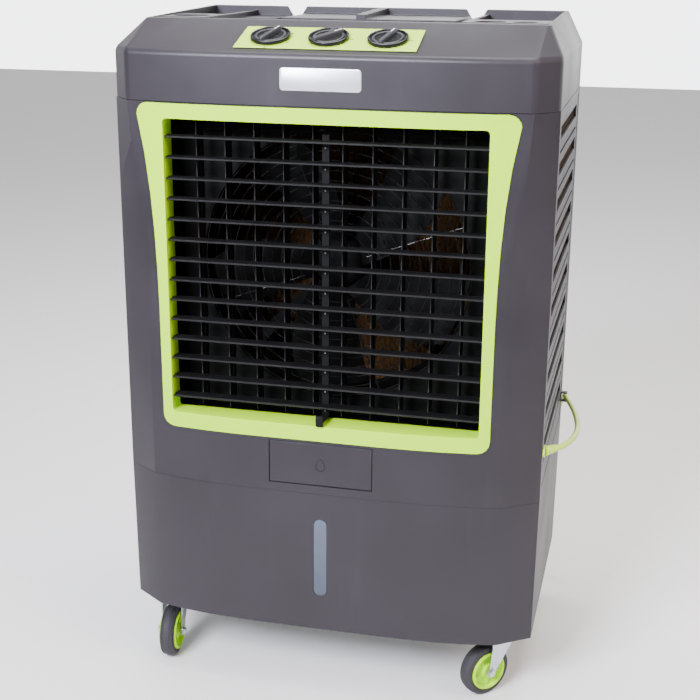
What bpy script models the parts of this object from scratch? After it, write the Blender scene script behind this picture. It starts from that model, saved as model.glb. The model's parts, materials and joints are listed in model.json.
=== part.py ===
"""Portable evaporative cooler on casters: tank, housing, hood, louvred outlet, pads, fan and pump.

Metres, +Z up, +X to the right seen from the front, the front facing -Y.
The origin is on the floor, under the middle of the body.
"""

import math

import bmesh
import bpy
from mathutils import Matrix, Vector

# ---- overall shape ----
WIDTH = 0.590  # across the side walls
DEPTH = 0.388  # bezel face to back wall
HEIGHT = 0.940  # floor to the hood's back wall
WHEEL_RADIUS = 0.0380
CASTER_HEAD = 0.0250  # tyre top to the tank's underside
TANK_BOTTOM = 2 * WHEEL_RADIUS + CASTER_HEAD
TANK_SEAM = 0.308  # tank to housing
HOOD_SEAM = 0.8325  # housing to hood
RIDGE_Z = 0.897  # where the hood's front turns into its slope
SLOPE_TOP_Z = 0.933
SLOPE_DEPTH = 0.1035  # the slope's length in plan
BULGE = 0.0165  # how far the front bows out at its middle
BEZEL_PROUD = 0.0015
CHAMFER_DEPTH = 0.0325
CREASE_TOP = 0.266  # half-width of the front between its corner chamfers, at the hood
CREASE_LOW = 0.2475  # the same at the tank
HOOD_TOP_HALF = 0.273
WALL = 0.003
FIT = 0.0004  # gap between pieces that touch
SEAM_GAP = 0.0003
FRONT_STEPS = 12  # straight pieces in the bowed front

HALF_W = WIDTH / 2
Y_FACE = -DEPTH / 2
Y_BACK = DEPTH / 2
Y_MIDDLE = Y_FACE + BEZEL_PROUD
Y_CORNER = Y_MIDDLE + BULGE

# ---- outlet: bezel, louvre blades and vanes ----
OPEN_HALF = 0.2140
OPEN_BOTTOM = 0.408
OPEN_TOP = 0.8115
OPEN_CORNER = 0.005
BEZEL_BOTTOM = 0.386
BEZEL_TOP = 0.831
BEZEL_LOW_HALF = 0.2286
BEZEL_FLARE = 0.0232  # how much wider the bezel is at its top
BEZEL_POWER = 4.0  # how late that widening comes
FLARE_FROM = 0.400
FLARE_TO = 0.8167
FLARE_POWER = 2.3
BEZEL_CORNER = 0.016
BEZEL_WALL = 0.0035
SLEEVE_BACK = -0.1560
BLADE_COUNT = 14
BLADE_PITCH = 0.02752
BLADE_TOP_Z = 0.7870
BLADE_CHORD = 0.022
BLADE_THICK = 0.003
BLADE_Y = -0.1705  # the pivot line of every blade
BLADE_GAP = 0.0010
PIN_RADIUS = 0.0020
PIN_CLEAR = 0.0003
LINK_WIDTH = 0.010
LINK_DEPTH = 0.004
LINK_THROW = 0.008  # pivot line to link bar
LINK_CLEAR = 0.0022  # round the bar, where a blade or vane turns about it
FOOT_CLEAR = 0.0050  # sill to the link's foot, more than the link's travel
FOOT_THICK = 0.0030
TAB_CLEAR = 0.0012  # bezel face to the thumb tab
TAB_THICK = 0.0028
TAB_DROP = 0.0045  # below the foot
TAB_RISE = 0.0105
VANE_COUNT = 10
VANE_PITCH = 0.040
VANE_CHORD = 0.028
VANE_THICK = 0.0018
VANE_Y = -0.1400
VANE_THROW = 0.0095
VANE_LINK_Z = 0.7940
VANE_LINK_HEIGHT = 0.004

# ---- control panel and knobs ----
PANEL_HALF = 0.118
PANEL_LOW = 0.0150  # along the slope, from the ridge
PANEL_LENGTH = 0.0670
PANEL_THICK = 0.0016
KNOB_PITCH = 0.0765
KNOB_RADIUS = 0.0262
KNOB_UP = 0.0460  # knob centre along the slope, from the ridge
KNOB_BASE = 0.0050
KNOB_GRIP_HEIGHT = 0.0085
KNOB_GRIP_WIDTH = 0.0070
SHAFT_RADIUS = 0.0035
KNOB_TURNS = (("knob_fan_speed", -1, -21), ("knob_pump", 0, -46), ("knob_swing", 1, -15))

# ---- hood tray ----
TRAY_FRONT = -0.072
TRAY_WALL = 0.006
TRAY_FLOOR = 0.910
PLATEAU = (-0.120, 0.130, 0.040, 0.930)  # left, right, front, top
LEDGE_FLOOR = 0.9255
SIDE_FLOOR = 0.916
CUPS = ((-0.237, -0.005, 0.026), (0.187, -0.022, 0.022), (0.233, -0.022, 0.017))  # x, y, radius
CUP_FLOOR = 0.921
NOTCH_X = 0.138
NOTCH_BOTTOM = 0.9232
NOTCH_HALF_LOW = 0.0050
NOTCH_HALF_TOP = 0.0155
CAVITY_TOP = 0.893

# ---- fill door and level window ----
DOOR_HALF = 0.0718
DOOR_BOTTOM = 0.3209
DOOR_TOP = 0.3809
DOOR_THICK = 0.003
DOOR_GAP = 0.0010
WINDOW_HALF = 0.0094
WINDOW_BOTTOM = 0.153
WINDOW_TOP = 0.270

# ---- pad cassettes ----
SIDE_OPEN_FRONT = -0.124
SIDE_OPEN_BACK = 0.172
REAR_OPEN_HALF = 0.238
PAD_OPEN_BOTTOM = 0.322
PAD_OPEN_TOP = 0.824
CASSETTE_DEPTH = 0.044
GRILLE_THICK = 0.003
PAD_THICK = 0.038
PAD_MARGIN = 0.006
SLOT_ROWS = 10
SLOT_PITCH = 0.0468
SLOT_HEIGHT = 0.017
SLOT_FIRST_Z = 0.3813
SLOT_RIB = 0.010  # upright rib between slots
SLOT_FRONT = 0.006  # plain margin in front of a side frame's slots
SLOT_BACK = 0.024
GROOVE_HEIGHT = 0.004  # the narrow slot under each slot
GROOVE_BELOW = 0.0245  # between their middles

# ---- fan ----
FAN_Z = 0.610
FAN_RADIUS = 0.182
FAN_Y = -0.078
RING_RADIUS = 0.187
RING_WALL = 0.004
RING_BACK = -0.036
BULKHEAD_Y = -0.112
BULKHEAD_THICK = 0.004
BULKHEAD_HALF = 0.245
BULKHEAD_BOTTOM = 0.392
BULKHEAD_TOP = 0.828
DUCT_HALF = 0.2160
DUCT_WALL = 0.004
DUCT_FRONT = -0.1556
MOTOR_RADIUS = 0.050
MOTOR_FRONT = -0.046
MOTOR_LENGTH = 0.080
HUB_RADIUS = 0.038
FAN_BLADES = 5
FAN_TURN = 38  # degrees, where the first blade stands at rest

# ---- casters ----
WHEEL_WIDTH = 0.026  # across the hub
TYRE_WIDTH = 0.020
RIM_RADIUS = 0.0277
CASTER_TRAIL = 0.028
CASTER_X = 0.2475
CASTER_FRONT_Y = -0.113
CASTER_BACK_Y = 0.128
CASTERS = (  # name, side, y, yaw of the trailing wheel in degrees
    ("front_left", -1, CASTER_FRONT_Y, 5),
    ("front_right", 1, CASTER_FRONT_Y, -44),
    ("rear_left", -1, CASTER_BACK_Y, 25),
    ("rear_right", 1, CASTER_BACK_Y, -18),
)
SEAT_DEPTH = 0.003

# ---- water parts ----
PUMP = ((0.105, 0.085), (0.165, 0.135), 0.055)  # corner, corner, height
RISER = (0.225, 0.128)
RISER_RADIUS = 0.006
MANIFOLD_Z = 0.846
FLOAT_PIVOT = (-0.190, 0.168, 0.275)
FLOAT_ARM = 0.085
FLOAT_RADIUS = 0.024

# ---- mains lead ----
CORD_RADIUS = 0.004
GLAND_AT = (HALF_W, -0.1335, 0.379)
GLAND_YAW = 47  # degrees from +X towards +Y
GLAND_LENGTH = 0.0245
CLIP_AT = (HALF_W + 0.0070, 0.1800, 0.3518)
CORD_ROUTE = (
    (0.3276, -0.0830, 0.3778), (0.3322, -0.0540, 0.3760), (0.3332, -0.0260, 0.3738), (0.3316, 0.0040, 0.3712),
    (0.3278, 0.0400, 0.3680), (0.3220, 0.0800, 0.3636), (0.3148, 0.1200, 0.3588),
    (0.3072, 0.1560, 0.3545), (0.3020, 0.1800, 0.3518), (0.3002, 0.1985, 0.3480),
    (0.2960, 0.2140, 0.3390), (0.2910, 0.2265, 0.3240), (0.2872, 0.2345, 0.3040),
    (0.2848, 0.2390, 0.2780), (0.2838, 0.2400, 0.2400), (0.2832, 0.2405, 0.1900),
    (0.2825, 0.2415, 0.1400), (0.2808, 0.2445, 0.0950), (0.2762, 0.2515, 0.0590),
    (0.2670, 0.2640, 0.0310), (0.2530, 0.2790, 0.0135), (0.2320, 0.2940, 0.0060),
    (0.2090, 0.3070, 0.0046), (0.1830, 0.3180, 0.0042), (0.1545, 0.3218, 0.0042),
)
COIL_CENTRE = (0.118, 0.278)
COIL_MID_RADIUS = 0.044
COIL_WIDTH = 0.0164
COIL_HEIGHT = 0.0164
PLUG_AT = (0.0492, 0.3270)

# ---- collections and materials ----


def clear_scene():
    for obj in list(bpy.data.objects):
        bpy.data.objects.remove(obj, do_unlink=True)


def new_collection(name):
    collection = bpy.data.collections.new(name)
    bpy.context.scene.collection.children.link(collection)
    return collection


clear_scene()
PARTS = new_collection("evaporative_cooler")
CUTTERS = new_collection("cutters")

FINISHES = {  # colour, roughness, metallic
    "charcoal": ((0.105, 0.098, 0.112), 0.45, 0.0),
    "lime": ((0.58, 0.80, 0.16), 0.40, 0.0),
    "black": ((0.012, 0.012, 0.014), 0.50, 0.0),
    "knob_grey": ((0.09, 0.09, 0.10), 0.40, 0.0),
    "window": ((0.42, 0.50, 0.62), 0.25, 0.0),
    "pad": ((0.22, 0.12, 0.05), 0.90, 0.0),
    "fan": ((0.05, 0.05, 0.055), 0.45, 0.0),
    "steel": ((0.62, 0.66, 0.70), 0.32, 1.0),
    "motor": ((0.16, 0.16, 0.17), 0.40, 0.6),
    "tyre": ((0.035, 0.034, 0.038), 0.75, 0.0),
    "hose": ((0.55, 0.58, 0.60), 0.40, 0.0),
    "float": ((0.75, 0.76, 0.78), 0.50, 0.0),
    "cord": ((0.62, 0.76, 0.22), 0.45, 0.0),
}


def material(finish):
    found = bpy.data.materials.get(finish)
    if found:
        return found
    colour, roughness, metallic = FINISHES[finish]
    made = bpy.data.materials.new(finish)
    made.use_nodes = True
    shader = made.node_tree.nodes["Principled BSDF"]
    shader.inputs["Base Color"].default_value = (*colour, 1.0)
    shader.inputs["Roughness"].default_value = roughness
    shader.inputs["Metallic"].default_value = metallic
    return made


# ---- general shapes ----


def place(name, bm, finish, origin=(0, 0, 0)):
    """A named part from a bmesh in world coordinates, with its origin at the point given."""
    bmesh.ops.recalc_face_normals(bm, faces=bm.faces)
    mesh = bpy.data.meshes.new(name)
    bm.to_mesh(mesh)
    bm.free()
    mesh.transform(Matrix.Translation(-Vector(origin)))
    obj = bpy.data.objects.new(name, mesh)
    obj.location = origin
    if finish:
        mesh.materials.append(material(finish))
        PARTS.objects.link(obj)
    else:
        obj.hide_render = True
        obj.display_type = "WIRE"
        CUTTERS.objects.link(obj)
    return obj


def add_box(bm, low, high, turn=None):
    """A box between two corners; turn is a matrix applied about the world origin afterwards."""
    middle = (Vector(low) + Vector(high)) / 2
    size = Vector(high) - Vector(low)
    matrix = Matrix.Translation(middle) @ Matrix.Diagonal((*size, 1.0))
    bmesh.ops.create_cube(bm, size=1.0, matrix=turn @ matrix if turn else matrix)


def add_cylinder(bm, start, end, radius, sides=24, end_radius=None):
    start, end = Vector(start), Vector(end)
    axis = end - start
    turn = Vector((0, 0, 1)).rotation_difference(axis).to_matrix().to_4x4()
    bmesh.ops.create_cone(
        bm,
        cap_ends=True,
        segments=sides,
        radius1=radius,
        radius2=radius if end_radius is None else end_radius,
        depth=axis.length,
        matrix=Matrix.Translation((start + end) / 2) @ turn,
    )


def box(name, low, high, finish=None, origin=(0, 0, 0)):
    bm = bmesh.new()
    add_box(bm, low, high)
    return place(name, bm, finish, origin)


def cylinder(name, start, end, radius, finish=None, sides=24, origin=(0, 0, 0)):
    bm = bmesh.new()
    add_cylinder(bm, start, end, radius, sides)
    return place(name, bm, finish, origin)


def loft(name, rings, finish=None):
    """A closed skin through rings of equal point counts, with flat ends, in triangles since its sides twist."""
    bm = bmesh.new()
    rows = [[bm.verts.new(point) for point in ring] for ring in rings]
    count = len(rows[0])
    for low, high in zip(rows, rows[1:]):
        for i in range(count):
            bm.faces.new((low[i], low[(i + 1) % count], high[(i + 1) % count], high[i]))
    bm.faces.new(rows[0])
    bm.faces.new(rows[-1])
    bmesh.ops.triangulate(bm, faces=bm.faces)
    return place(name, bm, finish)


def outline(name, loops, y_from, y_to, finish=None):
    """A front-view outline of (x, z) loops, the first one outside and the rest holes, made solid along Y."""
    curve = bpy.data.curves.new(name + "_outline", "CURVE")
    curve.dimensions = "2D"
    curve.fill_mode = "BOTH"
    curve.extrude = abs(y_to - y_from) / 2
    for loop in loops:
        spline = curve.splines.new("POLY")
        spline.points.add(len(loop) - 1)
        for point, (x, z) in zip(spline.points, loop):
            point.co = (x, z, 0, 1)
        spline.use_cyclic_u = True
    guide = bpy.data.objects.new(name + "_outline", curve)
    CUTTERS.objects.link(guide)
    guide.matrix_world = Matrix.Translation((0, (y_from + y_to) / 2, 0)) @ Matrix.Rotation(math.pi / 2, 4, "X")
    return from_curve(name, guide, finish)


def from_curve(name, guide, finish):
    """The mesh of a curve object, its caps welded, in place of the curve."""
    bpy.context.view_layer.update()
    evaluated = guide.evaluated_get(bpy.context.evaluated_depsgraph_get())
    mesh = bpy.data.meshes.new_from_object(evaluated)
    bm = bmesh.new()
    bm.from_mesh(mesh)
    bm.transform(guide.matrix_world)
    bmesh.ops.remove_doubles(bm, verts=bm.verts, dist=1e-5)
    bpy.data.meshes.remove(mesh)
    bpy.data.objects.remove(guide)
    return place(name, bm, finish)


def smooth_route(points, spacing):
    """Points an even step apart on a smooth curve through the route's own points."""
    route = [Vector(p) for p in points]
    fine = []
    for i in range(len(route) - 1):
        before, a = route[max(i - 1, 0)], route[i]
        b, after = route[i + 1], route[min(i + 2, len(route) - 1)]
        for step in range(16):
            t = step / 16
            fine.append(
                0.5 * (2 * a + (b - before) * t + (2 * before - 5 * a + 4 * b - after) * t**2
                       + (3 * a - before - 3 * b + after) * t**3)
            )
    fine.append(route[-1])
    total = sum((b - a).length for a, b in zip(fine, fine[1:]))
    count = max(2, round(total / spacing))
    even, travelled, target = [fine[0]], 0.0, total / count
    for a, b in zip(fine, fine[1:]):
        length = (b - a).length
        while travelled + length >= target and len(even) < count:
            even.append(a + (b - a) * ((target - travelled) / length))
            target += total / count
        travelled += length
    return even + [fine[-1]]


def tube(name, points, radius, finish, resolution=2):
    curve = bpy.data.curves.new(name + "_path", "CURVE")
    curve.dimensions = "3D"
    curve.bevel_depth = radius
    curve.bevel_resolution = resolution
    curve.use_fill_caps = True
    spline = curve.splines.new("POLY")
    spline.points.add(len(points) - 1)
    for point, at in zip(spline.points, points):
        point.co = (*at, 1)
    guide = bpy.data.objects.new(name + "_path", curve)
    CUTTERS.objects.link(guide)
    return from_curve(name, guide, finish)


def combine(obj, operation, other):
    modifier = obj.modifiers.new(operation.lower(), "BOOLEAN")
    modifier.operation = operation
    modifier.solver = "EXACT"
    modifier.object = other
    return obj


# ---- the body's outline ----


def crease_half(z):
    """Half-width of the bowed front at a height: it flares towards the hood."""
    share = min(max((z - FLARE_FROM) / (FLARE_TO - FLARE_FROM), 0.0), 1.0)
    return CREASE_LOW + (CREASE_TOP - CREASE_LOW) * share**FLARE_POWER


def bezel_half(z):
    share = min(max((z - FLARE_FROM) / (FLARE_TO - FLARE_FROM), 0.0), 1.0)
    return BEZEL_LOW_HALF + BEZEL_FLARE * share**BEZEL_POWER


def front_y(x, crease):
    return Y_CORNER - BULGE * (1 - min(1.0, abs(x) / crease) ** 4)


def body_ring(z, half=HALF_W, crease=None, inset=0.0):
    """The body's plan outline at a height, optionally stepped inwards by a wall."""
    crease = (crease_half(z) if crease is None else crease) - inset / 2
    half -= inset
    front = [
        (x, front_y(x, crease) + inset, z)
        for x in (crease * (2 * i / FRONT_STEPS - 1) for i in range(FRONT_STEPS + 1))
    ]
    side_y = Y_CORNER + CHAMFER_DEPTH + inset / 2
    back_y = Y_BACK - inset
    return front + [(half, side_y, z), (half, back_y, z), (-half, back_y, z), (-half, side_y, z)]


SLOPE = Vector((0, SLOPE_DEPTH, SLOPE_TOP_Z - RIDGE_Z)).normalized()
SLOPE_NORMAL = Vector((0, -SLOPE.z, SLOPE.y))


def on_slope(x, up, out=0.0):
    """A point on the hood's slope: x across, up along it from the ridge, out from its surface."""
    return Vector((x, Y_MIDDLE, RIDGE_Z)) + SLOPE * up + SLOPE_NORMAL * out


# ---- tank ----


def build_tank():
    tank = loft(
        "water_tank",
        [body_ring(TANK_BOTTOM, HALF_W - 0.002, CREASE_LOW), body_ring(TANK_SEAM - SEAM_GAP, HALF_W, CREASE_LOW)],
        "charcoal",
    )
    inside = loft(
        "tank_inside",
        [
            body_ring(TANK_BOTTOM + WALL, HALF_W - 0.002, CREASE_LOW, WALL),
            body_ring(TANK_SEAM + 0.01, HALF_W, CREASE_LOW, WALL),
        ],
    )
    combine(tank, "DIFFERENCE", inside)
    for name, side, y, _ in CASTERS:
        seat = box(
            "seat_" + name,
            (side * CASTER_X - 0.030, y - 0.030, TANK_BOTTOM - SEAT_DEPTH),
            (side * CASTER_X + 0.030, y + 0.030, TANK_BOTTOM + WALL / 2),
        )
        combine(tank, "UNION", seat)
    combine(tank, "DIFFERENCE", outline("window_slot", [window_loop(FIT)], Y_FACE - 0.01, Y_FACE + 0.02))
    lug = box(
        "float_lug",
        (FLOAT_PIVOT[0] - 0.018, FLOAT_PIVOT[1] - 0.007, FLOAT_PIVOT[2] - 0.010),
        (FLOAT_PIVOT[0] - 0.008, Y_BACK - WALL / 2, FLOAT_PIVOT[2] + 0.010),
    )
    combine(tank, "UNION", lug)
    bore = cylinder(
        "float_bore",
        (FLOAT_PIVOT[0] - 0.030, *FLOAT_PIVOT[1:]),
        (FLOAT_PIVOT[0], *FLOAT_PIVOT[1:]),
        PIN_RADIUS + PIN_CLEAR,
        sides=12,
    )
    combine(tank, "DIFFERENCE", bore)


def window_loop(grow=0.0):
    """The level window: a tall slot with round ends."""
    radius = WINDOW_HALF
    low, high = WINDOW_BOTTOM + radius, WINDOW_TOP - radius
    loop = []
    for centre, start in ((high, 0), (low, 180)):
        for i in range(9):
            angle = math.radians(start + 22.5 * i)
            loop.append(((radius + grow) * math.cos(angle), centre + (radius + grow) * math.sin(angle)))
    return loop


def build_level_window():
    window = outline("level_window", [window_loop()], Y_FACE - 0.01, Y_MIDDLE + WALL + 0.001, "window")
    face = box(
        "window_trim", (-0.05, Y_FACE - 0.03, WINDOW_BOTTOM - 0.02), (0.05, Y_MIDDLE, WINDOW_TOP + 0.02)
    )
    combine(window, "DIFFERENCE", face)


# ---- housing ----


def bezel_loop(grow=0.0):
    """The bezel's outer outline: narrow at the bottom, flared at the top, with round corners."""
    loop = []
    radius = BEZEL_CORNER
    for side in (1, -1):
        heights = [FLARE_FROM + 0.006 + (FLARE_TO - FLARE_FROM - 0.008) * i / 8 for i in range(9)]
        run = [(side * (bezel_half(z) + grow), z) for z in heights]
        low_x, high_x = bezel_half(FLARE_FROM), bezel_half(FLARE_TO)
        low, high = [], []
        for i in range(5):
            angle = math.radians(22.5 * i)
            low.append(
                (
                    side * (low_x - radius + (radius + grow) * math.sin(angle)),
                    BEZEL_BOTTOM + radius - (radius + grow) * math.cos(angle),
                )
            )
            high.append(
                (
                    side * (high_x - radius + (radius + grow) * math.cos(angle)),
                    BEZEL_TOP - radius + (radius + grow) * math.sin(angle),
                )
            )
        half_loop = low + run[1:] + high
        loop += half_loop if side == 1 else half_loop[::-1]
    return loop


HOUSING_LEVELS = (TANK_SEAM, FLARE_FROM, 0.480, 0.560, 0.640, 0.720, 0.780, HOOD_SEAM - SEAM_GAP)


def build_housing():
    housing = loft("main_housing", [body_ring(z) for z in HOUSING_LEVELS], "charcoal")
    levels = (TANK_SEAM - 0.01, *HOUSING_LEVELS[1:-1], HOOD_SEAM + 0.01)
    combine(housing, "DIFFERENCE", loft("housing_inside", [body_ring(z, inset=WALL) for z in levels]))
    combine(
        housing,
        "DIFFERENCE",
        box(
            "side_openings",
            (-HALF_W - 0.02, SIDE_OPEN_FRONT, PAD_OPEN_BOTTOM),
            (HALF_W + 0.02, SIDE_OPEN_BACK, PAD_OPEN_TOP),
        ),
    )
    combine(
        housing,
        "DIFFERENCE",
        box("rear_opening", (-REAR_OPEN_HALF, 0.10, PAD_OPEN_BOTTOM), (REAR_OPEN_HALF, Y_BACK + 0.02, PAD_OPEN_TOP)),
    )
    combine(housing, "DIFFERENCE", outline("bezel_opening", [bezel_loop(FIT)], Y_FACE - 0.02, -0.10))
    combine(
        housing,
        "DIFFERENCE",
        box(
            "door_opening",
            (-DOOR_HALF - DOOR_GAP, Y_FACE - 0.02, DOOR_BOTTOM - DOOR_GAP),
            (DOOR_HALF + DOOR_GAP, -0.15, DOOR_TOP + DOOR_GAP),
        ),
    )
    x, y, z = GLAND_AT
    combine(
        housing,
        "DIFFERENCE",
        cylinder("gland_bore", (x - 0.01, y, z), (x + 0.01, y, z), 0.0062 + PIN_CLEAR, sides=16),
    )
    for name, offset in (("clip_jaw_low", -1), ("clip_jaw_high", 1)):
        middle = CLIP_AT[2] + offset * (CORD_RADIUS + 0.0026)
        jaw = box(
            name,
            (HALF_W - WALL / 2, CLIP_AT[1] - 0.004, middle - 0.0012),
            (HALF_W + 0.0090, CLIP_AT[1] + 0.004, middle + 0.0012),
        )
        combine(housing, "UNION", jaw)


# ---- outlet ----


def opening_loop(grow=0.0):
    """The outlet opening's outline, with rounded corners."""
    loop = []
    x = OPEN_HALF - OPEN_CORNER
    low, high = OPEN_BOTTOM + OPEN_CORNER, OPEN_TOP - OPEN_CORNER
    for middle_x, middle_z, first in ((x, low, -90), (x, high, 0), (-x, high, 90), (-x, low, 180)):
        for step in range(4):
            angle = math.radians(first + 30 * step)
            radius = OPEN_CORNER + grow
            loop.append((middle_x + radius * math.cos(angle), middle_z + radius * math.sin(angle)))
    return loop


def build_bezel():
    """A face ring that follows the bowed front, with a sleeve behind it that carries the blades."""
    bezel = outline("front_bezel", [bezel_loop(), opening_loop()], Y_FACE - 0.01, SLEEVE_BACK, "lime")
    levels = (BEZEL_BOTTOM - 0.02, *HOUSING_LEVELS[2:-1], BEZEL_TOP + 0.02)
    front = []
    for z in levels:
        ring = body_ring(z)[: FRONT_STEPS + 1]
        front.append([(x, y - BEZEL_PROUD, z) for x, y, _ in ring] + [(0.28, -0.10, z), (-0.28, -0.10, z)])
    combine(bezel, "INTERSECT", loft("bezel_front", front))
    hollow = outline("bezel_hollow", [bezel_loop(0.01), opening_loop(BEZEL_WALL)], Y_FACE - 0.01, -0.10)
    behind = []
    for z in levels:
        ring = body_ring(z)[: FRONT_STEPS + 1]
        behind.append([(x, y + BEZEL_WALL, z) for x, y, _ in ring] + [(0.28, -0.09, z), (-0.28, -0.09, z)])
    combine(hollow, "INTERSECT", loft("bezel_behind", behind))
    combine(bezel, "DIFFERENCE", hollow)
    bm = bmesh.new()
    for i in range(BLADE_COUNT):
        z = blade_z(i)
        add_cylinder(bm, (-0.225, BLADE_Y, z), (0.225, BLADE_Y, z), PIN_RADIUS + PIN_CLEAR, 8)
    combine(bezel, "DIFFERENCE", place("blade_bores", bm, None))


def blade_z(index):
    return BLADE_TOP_Z - BLADE_PITCH * index


def louvre_section(middle, along, chord, thick):
    """A blade's section: a round nose in front, tapering to the back. (y, offset) pairs."""
    nose = thick / 2
    return [
        (middle - chord / 2, -nose * 0.5), (middle - chord / 2, nose * 0.5), (middle - chord / 2 + 0.001, nose),
        (middle + chord / 2 - 0.004, nose), (middle + chord / 2, nose * 0.4), (middle + chord / 2, -nose * 0.4),
        (middle + chord / 2 - 0.004, -nose), (middle - chord / 2 + 0.001, -nose),
    ]


def build_blades():
    half = OPEN_HALF - BLADE_GAP
    for i in range(BLADE_COUNT):
        z = blade_z(i)
        section = louvre_section(BLADE_Y, "x", BLADE_CHORD, BLADE_THICK)
        name = f"louvre_blade_{i + 1:02d}"
        blade = loft(name, [[(x, y, z + dz) for y, dz in section] for x in (-half, half)], "black")
        blade.data.transform(Matrix.Translation((0, -BLADE_Y, -z)))
        blade.location = (0, BLADE_Y, z)
        reach = half + BLADE_GAP + BEZEL_WALL - 0.0005
        pins = cylinder(name + "_pins", (-reach, BLADE_Y, z), (reach, BLADE_Y, z), PIN_RADIUS, sides=8)
        notch = box(
            name + "_notch",
            (-LINK_WIDTH / 2 - 0.001, BLADE_Y + LINK_THROW - LINK_DEPTH / 2 - LINK_CLEAR, z - 0.01),
            (LINK_WIDTH / 2 + 0.001, BLADE_Y + BLADE_CHORD, z + 0.01),
        )
        combine(blade, "UNION", pins)
        combine(blade, "DIFFERENCE", notch)


def build_louvre_link():
    """The upright bar behind the blades, with a foot over the sill to a thumb tab in front of the bezel."""
    y = BLADE_Y + LINK_THROW
    low = OPEN_BOTTOM + FOOT_CLEAR
    half = LINK_WIDTH / 2
    bm = bmesh.new()
    add_box(bm, (-half, y - LINK_DEPTH / 2, low), (half, y + LINK_DEPTH / 2, BLADE_TOP_Z + 0.009))
    link = place("louvre_link", bm, "black", (0, y, BLADE_TOP_Z))
    back = Y_FACE - TAB_CLEAR
    foot = box("link_foot", (-half, back - TAB_THICK / 2, low), (half, y, low + FOOT_THICK))
    tab = box("link_tab", (-half, back - TAB_THICK, low - TAB_DROP), (half, back, low + TAB_RISE))
    combine(link, "UNION", foot)
    combine(link, "UNION", tab)


def vane_x(index):
    return (index - (VANE_COUNT - 1) / 2) * VANE_PITCH


def build_vanes():
    low, high = OPEN_BOTTOM + 0.002, OPEN_TOP - 0.002
    for i in range(VANE_COUNT):
        x = vane_x(i)
        section = louvre_section(VANE_Y, "z", VANE_CHORD, VANE_THICK)
        name = f"swing_vane_{i + 1:02d}"
        vane = loft(name, [[(x + dx, y, z) for y, dx in section] for z in (low, high)], "black")
        vane.data.transform(Matrix.Translation((-x, -VANE_Y, 0)))
        vane.location = (x, VANE_Y, 0)
        pins = cylinder(
            name + "_pins",
            (x, VANE_Y, DUCT_LOW - DUCT_WALL + 0.0005),
            (x, VANE_Y, DUCT_HIGH + DUCT_WALL - 0.0005),
            PIN_RADIUS * 0.8,
            sides=8,
        )
        notch = box(
            name + "_notch",
            (x - 0.01, VANE_Y + VANE_THROW - LINK_DEPTH / 2 - LINK_CLEAR, VANE_LINK_Z - VANE_LINK_HEIGHT / 2 - 0.001),
            (x + 0.01, VANE_Y + VANE_CHORD, VANE_LINK_Z + VANE_LINK_HEIGHT / 2 + 0.001),
        )
        combine(vane, "UNION", pins)
        combine(vane, "DIFFERENCE", notch)


def build_vane_link():
    y = VANE_Y + VANE_THROW
    half = vane_x(VANE_COUNT - 1) + 0.008
    box(
        "vane_link",
        (-half, y - LINK_DEPTH / 2, VANE_LINK_Z - VANE_LINK_HEIGHT / 2),
        (half, y + LINK_DEPTH / 2, VANE_LINK_Z + VANE_LINK_HEIGHT / 2),
        "black",
        (vane_x(0), y, VANE_LINK_Z),
    )


# ---- fan ----

DUCT_LOW = OPEN_BOTTOM - 0.002
DUCT_HIGH = OPEN_TOP + 0.002


def build_shroud():
    """Bulkhead, outlet duct with the vanes' bores, fan ring, and the arms that hold the motor."""
    shroud = box(
        "fan_shroud",
        (-BULKHEAD_HALF, BULKHEAD_Y, BULKHEAD_BOTTOM),
        (BULKHEAD_HALF, BULKHEAD_Y + BULKHEAD_THICK, BULKHEAD_TOP),
        "black",
    )
    duct = [
        (DUCT_HALF, DUCT_LOW), (DUCT_HALF, DUCT_HIGH), (-DUCT_HALF, DUCT_HIGH), (-DUCT_HALF, DUCT_LOW)
    ]
    outer = [(x + math.copysign(DUCT_WALL, x), z + (DUCT_WALL if z > 0.6 else -DUCT_WALL)) for x, z in duct]
    combine(shroud, "UNION", outline("duct", [outer, duct], DUCT_FRONT, BULKHEAD_Y + 0.001))
    ring = cylinder(
        "ring",
        (0, BULKHEAD_Y + BULKHEAD_THICK / 2, FAN_Z),
        (0, RING_BACK, FAN_Z),
        RING_RADIUS + RING_WALL,
        sides=48,
    )
    combine(shroud, "UNION", ring)
    throat = cylinder("throat", (0, BULKHEAD_Y - 0.01, FAN_Z), (0, RING_BACK + 0.01, FAN_Z), RING_RADIUS, sides=48)
    combine(shroud, "DIFFERENCE", throat)
    bm = bmesh.new()
    for i in range(4):
        turn = Matrix.Translation((0, 0, FAN_Z)) @ Matrix.Rotation(math.radians(45 + 90 * i), 4, "Y")
        add_box(
            bm,
            (MOTOR_RADIUS + 0.002, RING_BACK - 0.008, -0.008),
            (RING_RADIUS + RING_WALL / 2, RING_BACK, 0.008),
            turn,
        )
    arms = place("motor_arms", bm, None)
    combine(shroud, "UNION", arms)
    seat = cylinder(
        "motor_seat", (0, RING_BACK - 0.008, FAN_Z), (0, RING_BACK + 0.022, FAN_Z), MOTOR_RADIUS + 0.005, sides=32
    )
    combine(shroud, "UNION", seat)
    bore = cylinder(
        "motor_bore", (0, RING_BACK - 0.02, FAN_Z), (0, RING_BACK + 0.04, FAN_Z), MOTOR_RADIUS + FIT, sides=32
    )
    combine(shroud, "DIFFERENCE", bore)
    bm = bmesh.new()
    for i in range(VANE_COUNT):
        add_cylinder(
            bm, (vane_x(i), VANE_Y, DUCT_LOW - 0.02), (vane_x(i), VANE_Y, DUCT_HIGH + 0.02),
            PIN_RADIUS * 0.8 + PIN_CLEAR, 8,
        )
    combine(shroud, "DIFFERENCE", place("vane_bores", bm, None))


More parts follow.
